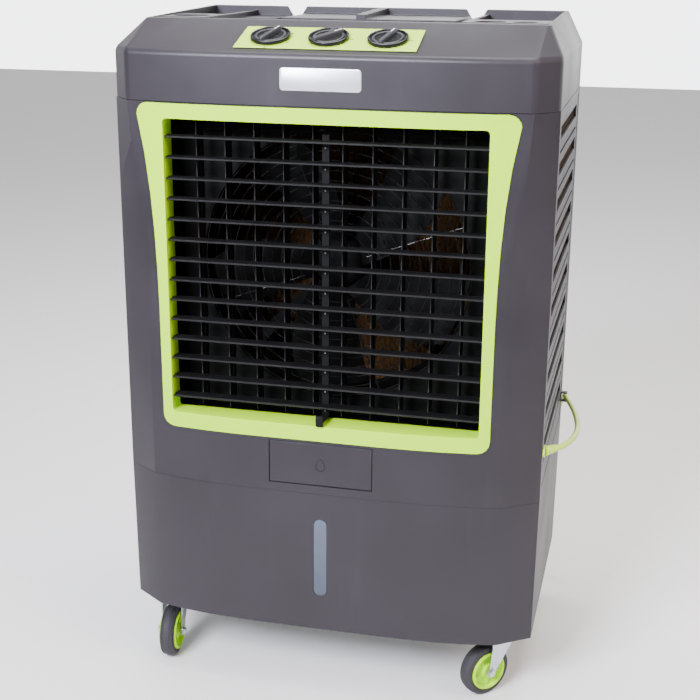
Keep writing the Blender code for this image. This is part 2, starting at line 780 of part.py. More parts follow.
def build_motor():
    motor = cylinder(
        "fan_motor",
        (0, MOTOR_FRONT, FAN_Z),
        (0, MOTOR_FRONT + MOTOR_LENGTH, FAN_Z),
        MOTOR_RADIUS,
        "motor",
        sides=32,
    )
    cap = cylinder(
        "motor_cap",
        (0, MOTOR_FRONT + MOTOR_LENGTH - 0.002, FAN_Z),
        (0, MOTOR_FRONT + MOTOR_LENGTH + 0.012, FAN_Z),
        MOTOR_RADIUS * 0.62,
        sides=32,
    )
    combine(motor, "UNION", cap)


def build_fan():
    centre = (0, FAN_Y, FAN_Z)
    fan = cylinder(
        "fan_rotor", (0, FAN_Y - 0.022, FAN_Z), (0, FAN_Y + 0.022, FAN_Z), HUB_RADIUS, "fan", 24, centre
    )
    for i in range(FAN_BLADES):
        spin = Matrix.Translation(centre) @ Matrix.Rotation(math.tau * i / FAN_BLADES - math.radians(FAN_TURN), 4, "Y")
        pitch = Matrix.Rotation(math.radians(27), 4, "X")
        bm = bmesh.new()
        add_box(bm, (HUB_RADIUS - 0.006, -0.0015, -0.046), (FAN_RADIUS - 0.006, 0.0015, 0.046), spin @ pitch)
        combine(fan, "UNION", place(f"fan_blade_{i + 1}", bm, None))


# ---- hood ----


def top_ring():
    """The hood's top edge: level along the slope's upper edge, rising a little to the back wall."""
    front_line = Y_MIDDLE + SLOPE_DEPTH
    narrow = HOOD_TOP_HALF - 0.005
    front = [
        (narrow * (2 * i / FRONT_STEPS - 1), front_line, SLOPE_TOP_Z) for i in range(FRONT_STEPS + 1)
    ]
    corner = (HOOD_TOP_HALF, front_line + 0.002, SLOPE_TOP_Z)
    back = (HOOD_TOP_HALF, Y_BACK, HEIGHT)
    mirror = [(-x, y, z) for x, y, z in (back, corner)]
    return front + [corner, back] + mirror


def add_tray_cutters(hood):
    left, right, front, top = PLATEAU
    inner = HOOD_TOP_HALF - TRAY_WALL
    back = Y_BACK - TRAY_WALL
    above = HEIGHT + 0.02
    cuts = (
        ("tray_front", (-0.150, TRAY_FRONT, TRAY_FLOOR), (0.152, front, above)),
        ("tray_left_end", (-0.150, front - 0.001, TRAY_FLOOR), (left, back, above)),
        ("tray_right_end", (right, front - 0.001, TRAY_FLOOR), (0.152, back, above)),
        ("plateau_left", (left - 0.001, front - 0.001, top), (-0.010, back, above)),
        ("plateau_right", (0.004, front - 0.001, top), (right + 0.001, back, above)),
        ("left_ledge", (-0.200, TRAY_FRONT, LEDGE_FLOOR), (-0.149, back, above)),
        ("left_well", (-inner, 0.045, SIDE_FLOOR), (-0.206, back, above)),
        ("right_well", (0.158, 0.030, SIDE_FLOOR), (inner, back, above)),
        ("left_top", (-inner, TRAY_FRONT, SLOPE_TOP_Z), (-0.199, back, above)),
        ("right_top", (0.151, TRAY_FRONT, SLOPE_TOP_Z), (inner, back, above)),
    )
    for name, low, high in cuts:
        combine(hood, "DIFFERENCE", box(name, low, high))
    for i, (x, y, radius) in enumerate(CUPS):
        combine(hood, "DIFFERENCE", cylinder(f"cup_{i + 1}", (x, y, CUP_FLOOR), (x, y, above), radius, sides=24))
    for side in (-1, 1):
        middle = side * NOTCH_X
        rise = (NOTCH_HALF_TOP - NOTCH_HALF_LOW) / (HEIGHT - NOTCH_BOTTOM)
        top_half = NOTCH_HALF_LOW + rise * (above - NOTCH_BOTTOM)
        loop = [
            (middle - NOTCH_HALF_LOW, NOTCH_BOTTOM), (middle + NOTCH_HALF_LOW, NOTCH_BOTTOM),
            (middle + top_half, above), (middle - top_half, above),
        ]
        name = "notch_left" if side < 0 else "notch_right"
        combine(hood, "DIFFERENCE", outline(name, [loop], back - 0.004, Y_BACK + 0.02))


def build_hood():
    hood = loft("top_hood", [body_ring(HOOD_SEAM, crease=CREASE_TOP), body_ring(RIDGE_Z, crease=CREASE_TOP), top_ring()], "charcoal")
    cavity = loft(
        "hood_cavity",
        [
            body_ring(HOOD_SEAM - 0.01, crease=CREASE_TOP, inset=WALL),
            body_ring(CAVITY_TOP, crease=CREASE_TOP, inset=WALL),
        ],
    )
    combine(hood, "DIFFERENCE", cavity)
    add_tray_cutters(hood)
    for name, column, _ in KNOB_TURNS:
        x = column * KNOB_PITCH
        bore = cylinder(
            name + "_bore", on_slope(x, KNOB_UP, -0.05), on_slope(x, KNOB_UP, 0.02), SHAFT_RADIUS + 0.0005, sides=12
        )
        combine(hood, "DIFFERENCE", bore)


def slope_matrix():
    """Turns x, up and out on the slope into world coordinates."""
    columns = (Vector((1, 0, 0)), SLOPE, SLOPE_NORMAL)
    turn = Matrix((columns[0], columns[1], columns[2])).transposed().to_4x4()
    return Matrix.Translation(on_slope(0, 0)) @ turn


def build_control_panel():
    bm = bmesh.new()
    low = (-PANEL_HALF, PANEL_LOW, FIT)
    high = (PANEL_HALF, PANEL_LOW + PANEL_LENGTH, FIT + PANEL_THICK)
    add_box(bm, low, high, slope_matrix())
    panel = place("control_panel", bm, "lime")
    for name, column, _ in KNOB_TURNS:
        x = column * KNOB_PITCH
        hole = cylinder(
            name + "_hole", on_slope(x, KNOB_UP, -0.01), on_slope(x, KNOB_UP, 0.01), SHAFT_RADIUS + 0.0005, sides=12
        )
        combine(panel, "DIFFERENCE", hole)


def build_knobs():
    base = FIT * 2 + PANEL_THICK
    for name, column, turn in KNOB_TURNS:
        x = column * KNOB_PITCH
        centre = on_slope(x, KNOB_UP, base)
        knob = cylinder(
            name, centre, on_slope(x, KNOB_UP, base + KNOB_BASE), KNOB_RADIUS, "knob_grey", 32, centre
        )
        spin = (
            Matrix.Translation(centre)
            @ slope_matrix().to_3x3().to_4x4()
            @ Matrix.Rotation(math.radians(turn), 4, "Z")
        )
        bm = bmesh.new()
        add_box(
            bm,
            (-KNOB_GRIP_WIDTH / 2, -KNOB_RADIUS + 0.001, KNOB_BASE / 2),
            (KNOB_GRIP_WIDTH / 2, KNOB_RADIUS - 0.001, KNOB_GRIP_HEIGHT),
            spin,
        )
        combine(knob, "UNION", place(name + "_grip", bm, None))
        shaft = cylinder(
            name + "_shaft", on_slope(x, KNOB_UP, -0.020), on_slope(x, KNOB_UP, base + 0.002), SHAFT_RADIUS, sides=12
        )
        combine(knob, "UNION", shaft)


# ---- fill door ----


def build_fill_door():
    """A flap hinged at its bottom edge, with round cheeks that guide the water as it tilts out."""
    hinge = (0, Y_MIDDLE + 0.0015, DOOR_BOTTOM + 0.0015)
    front = Y_MIDDLE + 0.0004
    door = box(
        "fill_door", (-DOOR_HALF, front, DOOR_BOTTOM), (DOOR_HALF, front + DOOR_THICK, DOOR_TOP), "charcoal", hinge
    )
    radius = DOOR_TOP - DOOR_BOTTOM - 0.004
    for side in (-1, 1):
        x = side * (DOOR_HALF - 0.004)
        arc = [
            (hinge[1] + radius * math.sin(a), hinge[2] + radius * math.cos(a))
            for a in (math.radians(55 * i / 8) for i in range(9))
        ]
        points = [(hinge[1], hinge[2] + 0.003), *arc, (hinge[1] + 0.006, hinge[2] + 0.003)]
        cheek = loft(f"cheek_{side}", [[(x + dx, y, z) for y, z in points] for dx in (-0.001, 0.001)])
        combine(door, "UNION", cheek)


# ---- pads and their cassettes ----


def slot_boxes(bm, u_low, u_high, columns, to_box):
    """Rows of slots across a cassette's face, a wide one and a narrow one in turn, as cutting boxes."""
    width = (u_high - u_low - SLOT_RIB * (columns - 1)) / columns
    for row in range(SLOT_ROWS):
        for drop, height in ((0.0, SLOT_HEIGHT), (GROOVE_BELOW, GROOVE_HEIGHT)):
            z = SLOT_FIRST_Z + SLOT_PITCH * row - drop
            for column in range(columns):
                start = u_low + column * (width + SLOT_RIB)
                add_box(bm, *to_box(start, start + width, z - height / 2, z + height / 2))


def build_side_cassette(name, side):
    front, back = SIDE_OPEN_FRONT + FIT, SIDE_OPEN_BACK - FIT
    low, high = PAD_OPEN_BOTTOM + FIT, PAD_OPEN_TOP - FIT
    face = HALF_W - 0.0005
    xs = sorted((side * face, side * (face - CASSETTE_DEPTH)))
    frame = box(name + "_pad_frame", (xs[0], front, low), (xs[1], back, high), "charcoal")
    inner = sorted((side * (face - GRILLE_THICK), side * (face - CASSETTE_DEPTH - 0.01)))
    rim = 0.003
    combine(
        frame,
        "DIFFERENCE",
        box(name + "_hollow", (inner[0], front + rim, low + rim), (inner[1], back - rim, high - rim)),
    )

    def to_box(u0, u1, z0, z1):
        return (side * (face + 0.01) if side < 0 else face - 0.008, u0, z0), (
            side * (face - 0.008) if side < 0 else face + 0.01, u1, z1)

    bm = bmesh.new()
    slot_boxes(bm, front + SLOT_FRONT, back - SLOT_BACK, 1, to_box)
    combine(frame, "DIFFERENCE", place(name + "_slots", bm, None))
    pad_x = sorted((side * (face - GRILLE_THICK - FIT), side * (face - GRILLE_THICK - FIT - PAD_THICK)))
    grip = rim + FIT
    box(
        name + "_cooling_pad",
        (pad_x[0], front + grip, low + grip),
        (pad_x[1], back - grip, high - grip),
        "pad",
    )


def build_rear_cassette():
    half = REAR_OPEN_HALF - FIT
    low, high = PAD_OPEN_BOTTOM + FIT, PAD_OPEN_TOP - FIT
    face = Y_BACK - 0.0005
    rim = 0.003
    frame = box("rear_pad_frame", (-half, face - CASSETTE_DEPTH, low), (half, face, high), "charcoal")
    combine(
        frame,
        "DIFFERENCE",
        box(
            "rear_hollow",
            (-half + rim, face - CASSETTE_DEPTH - 0.01, low + rim),
            (half - rim, face - GRILLE_THICK, high - rim),
        ),
    )
    bm = bmesh.new()
    slot_boxes(
        bm, -half + 0.010, half - 0.010, 2, lambda u0, u1, z0, z1: ((u0, face - 0.008, z0), (u1, face + 0.01, z1))
    )
    combine(frame, "DIFFERENCE", place("rear_slots", bm, None))
    grip = rim + FIT
    back = face - GRILLE_THICK - FIT
    box("rear_cooling_pad", (-half + grip, back - PAD_THICK, low + grip), (half - grip, back, high - grip), "pad")


# ---- water parts ----


def build_pump():
    (x0, y0), (x1, y1), height = PUMP
    floor = TANK_BOTTOM + WALL + FIT
    pump = box("pump", (x0, y0, floor), (x1, y1, floor + height), "black")
    mid_x, mid_y = (x0 + x1) / 2, (y0 + y1) / 2
    outlet = cylinder("pump_outlet", (mid_x, mid_y, floor + height - 0.002), (mid_x, mid_y, floor + height + 0.010), 0.0075, sides=16)
    combine(pump, "UNION", outlet)


def build_water_line():
    """Riser hose from the pump and the manifold it feeds above the three pads."""
    (x0, y0), (x1, y1), height = PUMP
    start_z = TANK_BOTTOM + WALL + FIT + height + 0.010 + FIT
    mid_x, mid_y = (x0 + x1) / 2, (y0 + y1) / 2
    riser = [
        (mid_x, mid_y, start_z), (mid_x, mid_y, start_z + 0.020), (mid_x + 0.020, mid_y + 0.004, start_z + 0.045),
        (RISER[0] - 0.020, RISER[1] - 0.002, start_z + 0.070), (*RISER, start_z + 0.110), (*RISER, 0.450),
        (*RISER, 0.650), (*RISER, MANIFOLD_Z - 0.020), (RISER[0] + 0.002, RISER[1] + 0.004, MANIFOLD_Z - 0.008),
        (RISER[0] + 0.006, RISER[1] + 0.016, MANIFOLD_Z), (RISER[0] + 0.008, RISER[1] + 0.044, MANIFOLD_Z),
    ]
    line = tube("water_line", smooth_route(riser, 0.020), RISER_RADIUS, "hose", 1)
    side_x, back_y, front_y_end = 0.266, 0.172, -0.110
    half_loop = [(0, back_y), (side_x - 0.040, back_y), (side_x - 0.012, back_y - 0.012), (side_x, back_y - 0.040), (side_x, front_y_end)]
    loop = [(x, y, MANIFOLD_Z) for x, y in half_loop]
    whole = [(-x, y, z) for x, y, z in reversed(loop[1:])] + loop
    manifold = tube("manifold", smooth_route(whole, 0.030), RISER_RADIUS, None, 1)
    combine(line, "UNION", manifold)


def build_float():
    """A ball on an arm that shuts the inlet as the water rises."""
    x, y, z = FLOAT_PIVOT
    arm = cylinder(
        "float_arm", (x, y, z), (x, y - FLOAT_ARM, z - 0.012), 0.0022, "float", 10, FLOAT_PIVOT
    )
    bm = bmesh.new()
    ball_at = Matrix.Translation((x, y - FLOAT_ARM - FLOAT_RADIUS * 0.8, z - 0.014))
    bmesh.ops.create_uvsphere(bm, u_segments=16, v_segments=10, radius=FLOAT_RADIUS, matrix=ball_at)
    combine(arm, "UNION", place("float_ball", bm, None))
    pin = cylinder("float_pin", (x - 0.017, y, z), (x + 0.003, y, z), PIN_RADIUS, sides=10)
    combine(arm, "UNION", pin)


# ---- casters ----


def caster_frames():
    for name, side, y, yaw in CASTERS:
        swivel = Vector((side * CASTER_X, y, 0))
        turn = Matrix.Rotation(math.radians(yaw), 4, "Z")
        yield name, swivel, turn


def build_caster(name, swivel, turn):
    """A swivel fork whose wheel trails behind the swivel axis, towards -Y before it is turned."""
    top = TANK_BOTTOM - SEAT_DEPTH - SEAM_GAP
    at = Matrix.Translation(swivel) @ turn
    bm = bmesh.new()
    add_cylinder(bm, (0, 0, top - 0.010), (0, 0, top), 0.021, 24)
    bmesh.ops.transform(bm, matrix=at, verts=bm.verts)
    fork = place(name + "_fork", bm, "steel", (swivel.x, swivel.y, top))
    inner = WHEEL_WIDTH / 2 + 0.0015
    thick = 0.002
    bridge = bmesh.new()
    add_box(bridge, (-inner - thick - 0.0005, -0.0265, top - 0.0125), (inner + thick + 0.0005, 0.0165, top - 0.0085), at)
    combine(fork, "UNION", place(name + "_bridge", bridge, None))
    axle_y = -CASTER_TRAIL
    profile = [
        (0.015, top - 0.0107), (axle_y + 0.0046, WHEEL_RADIUS - 0.006), (axle_y - 0.0046, WHEEL_RADIUS - 0.006),
        (-0.025, top - 0.0107),
    ]
    for side in (-1, 1):
        x0 = side * inner
        x1 = side * (inner + thick)
        leg = loft(f"{name}_leg_{side}", [[at @ Vector((x, y, z)) for y, z in profile] for x in (x0, x1)])
        combine(fork, "UNION", leg)
    reach = inner + thick + 0.0015
    ends = [at @ Vector((side * reach, -CASTER_TRAIL, WHEEL_RADIUS)) for side in (-1, 1)]
    combine(fork, "UNION", cylinder(name + "_axle", *ends, 0.0038, sides=12))
    return at


def build_wheel(name, at):
    """Rubber tyre on a plastic hub, turned about the axle."""
    centre = at @ Vector((0, -CASTER_TRAIL, WHEEL_RADIUS))
    half = WHEEL_WIDTH / 2
    tyre_half = TYRE_WIDTH / 2
    profile = [
        (0.0043, half - 0.003), (0.0100, half - 0.002), (0.0110, half - 0.006), (RIM_RADIUS - 0.0027, half - 0.006),
        (RIM_RADIUS - 0.0015, half), (RIM_RADIUS, half), (RIM_RADIUS + 0.0004, tyre_half),
        (WHEEL_RADIUS - 0.003, tyre_half), (WHEEL_RADIUS, tyre_half - 0.004),
    ]
    profile += [(r, -w) for r, w in reversed(profile)]
    steps = 24
    bm = bmesh.new()
    rows = []
    for i in range(steps):
        angle = math.tau * i / steps
        rows.append([bm.verts.new((w, r * math.cos(angle), r * math.sin(angle))) for r, w in profile])
    for i in range(steps):
        a, b = rows[i], rows[(i + 1) % steps]
        for j in range(len(profile)):
            k = (j + 1) % len(profile)
            bm.faces.new((a[j], a[k], b[k], b[j]))
    turn = Matrix.Translation(centre) @ at.to_3x3().to_4x4()
    bmesh.ops.transform(bm, matrix=turn, verts=bm.verts)
    place(name + "_wheel", bm, "tyre", centre)


# ---- mains lead ----


def build_gland():
    """The strain relief: a flange and spigot in the wall, and a boot that leans the way the lead goes."""
    x, y, z = GLAND_AT
    bm = bmesh.new()
    add_cylinder(bm, (x - 0.008, y, z), (x + 0.001, y, z), 0.0062, 16)
    gland = place("cord_gland", bm, "black")
    combine(gland, "UNION", cylinder("gland_flange", (x + SEAM_GAP, y, z), (x + 0.003, y, z), 0.0088, sides=20))
    lean = Vector((math.cos(math.radians(GLAND_YAW)), math.sin(math.radians(GLAND_YAW)), 0))
    start = Vector((x + 0.0022, y + 0.001, z))
    boot = bmesh.new()
    add_cylinder(boot, start, start + lean * (GLAND_LENGTH - 0.003), 0.0070, 20, 0.0049)
    combine(gland, "UNION", place("gland_boot", boot, None))
    trim = box("gland_trim", (x - 0.05, y - 0.02, z - 0.02), (x + SEAM_GAP - 0.00001, y + 0.03, z + 0.02))
    combine(bpy.data.objects["gland_boot"], "DIFFERENCE", trim)
    return start + lean * (GLAND_LENGTH - 0.003)


def build_cord(boot_end):
    lean = Vector((math.cos(math.radians(GLAND_YAW)), math.sin(math.radians(GLAND_YAW)), 0))
    route = [boot_end + lean * 0.0008, boot_end + lean * 0.010, *[Vector(p) for p in CORD_ROUTE]]
    tube("mains_cord", smooth_route(route, 0.0125), CORD_RADIUS, "cord", 2)


def build_coil():
    """The rest of the lead, coiled on the floor: the outer shape of its turns."""
    profile = [
        (COIL_MID_RADIUS + COIL_WIDTH / 2, COIL_HEIGHT - 0.004),
        (COIL_MID_RADIUS + COIL_WIDTH / 2, 0.004),
        (COIL_MID_RADIUS + COIL_WIDTH / 2 - 0.003, 0.0),
        (COIL_MID_RADIUS - COIL_WIDTH / 2 + 0.003, 0.0),
        (COIL_MID_RADIUS - COIL_WIDTH / 2, 0.004),
        (COIL_MID_RADIUS - COIL_WIDTH / 2, COIL_HEIGHT - 0.004),
        (COIL_MID_RADIUS - COIL_WIDTH / 2 + 0.003, COIL_HEIGHT),
        (COIL_MID_RADIUS + COIL_WIDTH / 2 - 0.003, COIL_HEIGHT),
    ]
    mesh = bpy.data.meshes.new("cord_coil")
    count = len(profile)
    mesh.from_pydata([(r, 0, z) for r, z in profile], [(i, (i + 1) % count) for i in range(count)], [])
    mesh.materials.append(material("cord"))
    coil = bpy.data.objects.new("cord_coil", mesh)
    coil.location = (*COIL_CENTRE, 0)
    PARTS.objects.link(coil)
    screw = coil.modifiers.new("turn", "SCREW")
    screw.steps = 32
    screw.render_steps = 32
    screw.use_merge_vertices = True
    screw.merge_threshold = 0.0001


def build_plug():
    """Moulded plug with a tapered boot and its prongs, lying beside the coil."""
    x, y = PLUG_AT
    bm = bmesh.new()
    add_box(bm, (x - 0.014, y - 0.0130, 0.0002), (x + 0.010, y + 0.0130, 0.0212))
    plug = place("mains_plug", bm, "black")
    boot = bmesh.new()
    add_cylinder(boot, (x + 0.009, y, 0.0107), (x + 0.032, y, 0.0085), 0.0085, 16, 0.0050)
    combine(plug, "UNION", place("plug_boot", boot, None))
    for name, low, high in (
        ("prong_a", (x - 0.030, y - 0.0072, 0.0090), (x - 0.013, y - 0.0057, 0.0153)),
        ("prong_b", (x - 0.030, y + 0.0057, 0.0090), (x - 0.013, y + 0.0072, 0.0153)),
    ):
        combine(plug, "UNION", box(name, low, high))
    earth = cylinder("prong_earth", (x - 0.013, y, 0.0055), (x - 0.033, y, 0.0055), 0.0024, sides=12)
    combine(plug, "UNION", earth)


# ---- assembly ----

build_tank()
build_level_window()
build_housing()
build_bezel()
build_blades()
build_louvre_link()
build_vanes()
build_vane_link()
build_shroud()
build_motor()
build_fan()
build_hood()
build_control_panel()
build_knobs()
build_fill_door()
build_side_cassette("right", 1)
build_side_cassette("left", -1)
build_rear_cassette()
build_pump()
build_water_line()
build_float()
for caster_name, caster_swivel, caster_turn in caster_frames():
    caster_at = build_caster(caster_name + "_caster", caster_swivel, caster_turn)
    build_wheel(caster_name + "_caster", caster_at)
build_cord(build_gland())
build_coil()
build_plug()
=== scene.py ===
import json
import math

import bmesh
import bpy
from mathutils import Matrix, Vector


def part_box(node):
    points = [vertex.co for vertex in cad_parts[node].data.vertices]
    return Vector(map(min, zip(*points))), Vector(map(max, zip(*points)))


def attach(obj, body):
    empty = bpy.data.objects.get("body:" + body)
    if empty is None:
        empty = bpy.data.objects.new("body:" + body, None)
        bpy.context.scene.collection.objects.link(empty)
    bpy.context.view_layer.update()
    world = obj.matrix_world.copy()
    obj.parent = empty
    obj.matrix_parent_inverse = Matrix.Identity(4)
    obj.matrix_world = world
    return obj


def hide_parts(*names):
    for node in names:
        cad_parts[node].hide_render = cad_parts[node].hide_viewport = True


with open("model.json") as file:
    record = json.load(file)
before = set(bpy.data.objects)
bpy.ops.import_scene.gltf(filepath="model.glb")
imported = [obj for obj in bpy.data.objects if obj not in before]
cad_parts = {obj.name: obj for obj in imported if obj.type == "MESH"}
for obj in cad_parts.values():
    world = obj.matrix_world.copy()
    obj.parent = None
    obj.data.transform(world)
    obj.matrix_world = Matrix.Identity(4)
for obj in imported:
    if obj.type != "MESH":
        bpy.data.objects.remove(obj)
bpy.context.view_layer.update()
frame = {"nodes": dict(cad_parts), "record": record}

record = frame["record"]
BODY_OF = {node: body for body, nodes in record["behaviour"]["bodies"].items() for node in nodes}

# ==== Camera, floor and light ====
# A plain pale studio floor, soft light from high on the right and from the front,
# and the camera a little right of the front, looking down.

CAMERA_AT = Vector((0.4185, -1.7579, 1.0168))
CAMERA_YAW = math.radians(-13.382)
CAMERA_DOWN = math.radians(17.259)
CAMERA_ROLL = math.radians(0.477)


def linear(code):
    """A linear RGBA colour from an sRGB hex code."""
    channels = [int(code[i : i + 2], 16) / 255 for i in (1, 3, 5)]
    return (*[c / 12.92 if c <= 0.04045 else ((c + 0.055) / 1.055) ** 2.4 for c in channels], 1.0)


def new_material(name, **sockets):
    """A material with one Principled shader; keyword names are its sockets with _ for a space."""
    made = bpy.data.materials.new(name)
    made.use_nodes = True
    shader = made.node_tree.nodes["Principled BSDF"]
    for key, value in sockets.items():
        shader.inputs[key.replace("_", " ")].default_value = value
    return made, made.node_tree, shader


def add_node(tree, kind, inputs=None, **settings):
    """Adds a node with its settings; an input is given a value or is linked to a socket."""
    node = tree.nodes.new(kind)
    for key, value in settings.items():
        setattr(node, key, value)
    for key, value in (inputs or {}).items():
        if isinstance(value, bpy.types.NodeSocket):
            tree.links.new(value, node.inputs[key])
        else:
            node.inputs[key].default_value = value
    return node


right = Vector((math.cos(CAMERA_YAW), -math.sin(CAMERA_YAW), 0))
forward = Vector(
    (
        math.sin(CAMERA_YAW) * math.cos(CAMERA_DOWN),
        math.cos(CAMERA_YAW) * math.cos(CAMERA_DOWN),
        -math.sin(CAMERA_DOWN),
    )
)
up = right.cross(forward)
right, up = (
    right * math.cos(CAMERA_ROLL) + up * math.sin(CAMERA_ROLL),
    up * math.cos(CAMERA_ROLL) - right * math.sin(CAMERA_ROLL),
)
camera_data = bpy.data.cameras.new("camera")
camera_data.sensor_width = 36.0
camera_data.lens = 65.86
camera_data.shift_x = -0.0056
camera_data.shift_y = 0.0025
camera = bpy.data.objects.new("camera", camera_data)
camera.matrix_world = Matrix.Translation(CAMERA_AT) @ Matrix((right, up, -forward)).transposed().to_4x4()
bpy.context.scene.collection.objects.link(camera)
bpy.context.scene.camera = camera

floor_paint, tree, shader = new_material("studio_floor_paint", Roughness=0.75, Base_Color=linear("#f4f3f2"))
floor_mesh = bpy.data.meshes.new("studio_floor")
floor_mesh.from_pydata([(-9, -9, 0), (9, -9, 0), (9, 9, 0), (-9, 9, 0)], [], [(0, 1, 2, 3)])
floor_mesh.materials.append(floor_paint)
floor = bpy.data.objects.new("studio_floor", floor_mesh)
bpy.context.scene.collection.objects.link(floor)

world = bpy.data.worlds.new("studio_air")
world.use_nodes = True
air = world.node_tree
air.nodes["Background"].inputs["Color"].default_value = linear("#f6f7f9")
# White cloth low behind the cooler, a dimmer room over it and on the camera's side.
facing = add_node(air, "ShaderNodeTexCoord")
split = add_node(air, "ShaderNodeSeparateXYZ", {"Vector": facing.outputs["Generated"]})
lean = add_node(
    air, "ShaderNodeMath", {0: split.outputs["Z"], 1: -0.8, 2: split.outputs["Y"]}, operation="MULTIPLY_ADD"
)
sweep = add_node(
    air, "ShaderNodeMapRange", {0: lean.outputs[0], 1: 0.25, 2: 0.85, 3: 0.5, 4: 5.0},
    interpolation_type="SMOOTHSTEP",
)
air.links.new(sweep.outputs[0], air.nodes["Background"].inputs["Strength"])
bpy.context.scene.world = world


def soft_light(name, at, target, width, height, watts, tint, spread=180):
    data = bpy.data.lights.new(name, "AREA")
    data.shape = "RECTANGLE"
    data.size = width
    data.size_y = height
    data.energy = watts
    data.color = linear(tint)[:3]
    data.spread = math.radians(spread)
    light = bpy.data.objects.new(name, data)
    light.location = at
    light.rotation_mode = "QUATERNION"
    light.rotation_quaternion = (Vector(target) - Vector(at)).to_track_quat("-Z", "Y")
    bpy.context.scene.collection.objects.link(light)


soft_light("key_right", (2.6, -1.2, 2.6), (0, 0, 0.55), 1.8, 1.8, 84, "#ffeadb")
soft_light("front_fill", (-0.7, -2.2, 1.9), (0, -0.2, 0.92), 1.1, 0.9, 56, "#eff0ff", 84)
soft_light("top_sheet", (0.0, 0.3, 3.2), (0, 0, 0.9), 2.2, 1.6, 110, "#ffffff")


# ==== Mains lead, coil and plug ====
# An 8 mm round PVC-jacketed lead, 1.7 m long. It leaves the gland on the right side, passes the
# moulded clip on the back post, drops to the floor, and lies in a tied coil behind the cooler.

CORD_DIAMETER = 0.008
COIL_CENTRE = Vector((0.118, 0.278, 0))
COIL_START = math.radians(72)
BOOT_END = Vector((0.31186, -0.11678, 0.379))
PLUG_BOOT_END = Vector((0.0812, 0.3270, 0.0090))
BOOT_LEAN = Vector((math.cos(math.radians(47)), math.sin(math.radians(47)), 0))
CORD_ROUTE = (
    (0.3276, -0.0830, 0.3778), (0.3322, -0.0540, 0.3760), (0.3332, -0.0260, 0.3738),
    (0.3316, 0.0040, 0.3712), (0.3278, 0.0400, 0.3680), (0.3220, 0.0800, 0.3636),
    (0.3148, 0.1200, 0.3588), (0.3072, 0.1560, 0.3545), (0.3020, 0.1800, 0.3518),
    (0.3002, 0.1985, 0.3480), (0.2960, 0.2140, 0.3390), (0.2910, 0.2265, 0.3240),
    (0.2872, 0.2345, 0.3040), (0.2848, 0.2390, 0.2780), (0.2838, 0.2400, 0.2400),
    (0.2832, 0.2405, 0.1900), (0.2825, 0.2415, 0.1400), (0.2808, 0.2445, 0.0950),
    (0.2762, 0.2515, 0.0590), (0.2670, 0.2640, 0.0310), (0.2530, 0.2790, 0.0135),
    (0.2320, 0.2940, 0.0060), (0.2090, 0.3070, 0.0046), (0.1830, 0.3180, 0.0042),
)


def smooth_path(points, spacing):
    """Points an even step apart on a smooth curve through the points given."""
    route = [Vector(p) for p in points]
    fine = []
    for i in range(len(route) - 1):
        before, a = route[max(i - 1, 0)], route[i]
        b, after = route[i + 1], route[min(i + 2, len(route) - 1)]
        for step in range(12):
            t = step / 12
            fine.append(
                0.5 * (2 * a + (b - before) * t + (2 * before - 5 * a + 4 * b - after) * t**2
                       + (3 * a - before - 3 * b + after) * t**3)
            )
    fine.append(route[-1])
    total = sum((b - a).length for a, b in zip(fine, fine[1:]))
    count = max(2, round(total / spacing))
    even, travelled, target = [fine[0]], 0.0, total / count
    for a, b in zip(fine, fine[1:]):
        length = (b - a).length
        while travelled + length >= target and len(even) < count:
            even.append(a + (b - a) * ((target - travelled) / length))
            target += total / count
        travelled += length
    return even + [fine[-1]]


COIL_PLAN = (  # turns from the coil's start, radius and height of the lead's middle
    (0.0, 0.0482, 0.0041), (0.75, 0.0482, 0.0041), (1.0, 0.0398, 0.0041), (1.5, 0.0398, 0.0041),
    (1.75, 0.0398, 0.0123), (2.25, 0.0398, 0.0123), (2.5, 0.0482, 0.0123), (3.05, 0.0482, 0.0123),
)


def coil_points(per_turn=20):
    """Three turns stacked two wide and two high, so that no turn runs through another."""
    points = []
    for (turn, radius, height), (next_turn, next_radius, next_height) in zip(COIL_PLAN, COIL_PLAN[1:]):
        steps = max(1, round((next_turn - turn) * per_turn))
        for step in range(steps):
            share = step / steps
            ease = share * share * (3 - 2 * share)
            angle = math.tau * (turn + (next_turn - turn) * share) + COIL_START
            reach = radius + (next_radius - radius) * ease
            lift = height + (next_height - height) * ease
            points.append(COIL_CENTRE + Vector((reach * math.cos(angle), reach * math.sin(angle), lift)))
    return points


def noise(tree, scale, detail):
    """A noise over the piece's own space."""
    space = add_node(tree, "ShaderNodeTexCoord").outputs["Object"]
    return add_node(tree, "ShaderNodeTexNoise", {"Vector": space, "Scale": scale, "Detail": detail})


def mottle(tree, shader, pattern, first, second):
    """The colour wanders between two, given as hex codes."""
    colours = {0: pattern.outputs["Fac"], 6: linear(first), 7: linear(second)}
    mixed = add_node(tree, "ShaderNodeMix", colours, data_type="RGBA")
    tree.links.new(mixed.outputs[2], shader.inputs["Base Color"])


def add_grain(tree, shader, pattern, strength, distance):
    """A fine relief in the surface."""
    bump = add_node(
        tree, "ShaderNodeBump",
        {"Height": pattern.outputs["Fac"], "Strength": strength, "Distance": distance}
    )
    tree.links.new(bump.outputs["Normal"], shader.inputs["Normal"])


cord_pvc, tree, shader = new_material("pvc_cord_jacket", Roughness=0.42)
# Extruded soft PVC: an even yellow-green, slightly dulled, with a faint draw texture along it.
dull = noise(tree, 60.0, 3.0)
mottle(tree, shader, dull, "#b3cd3c", "#c3da52")

rubber_black, tree, shader = new_material("moulded_pvc_black", Roughness=0.5, Base_Color=linear("#1c1c1e"))
fine = noise(tree, 900.0, 2.0)
add_grain(tree, shader, fine, 0.25, 0.0003)


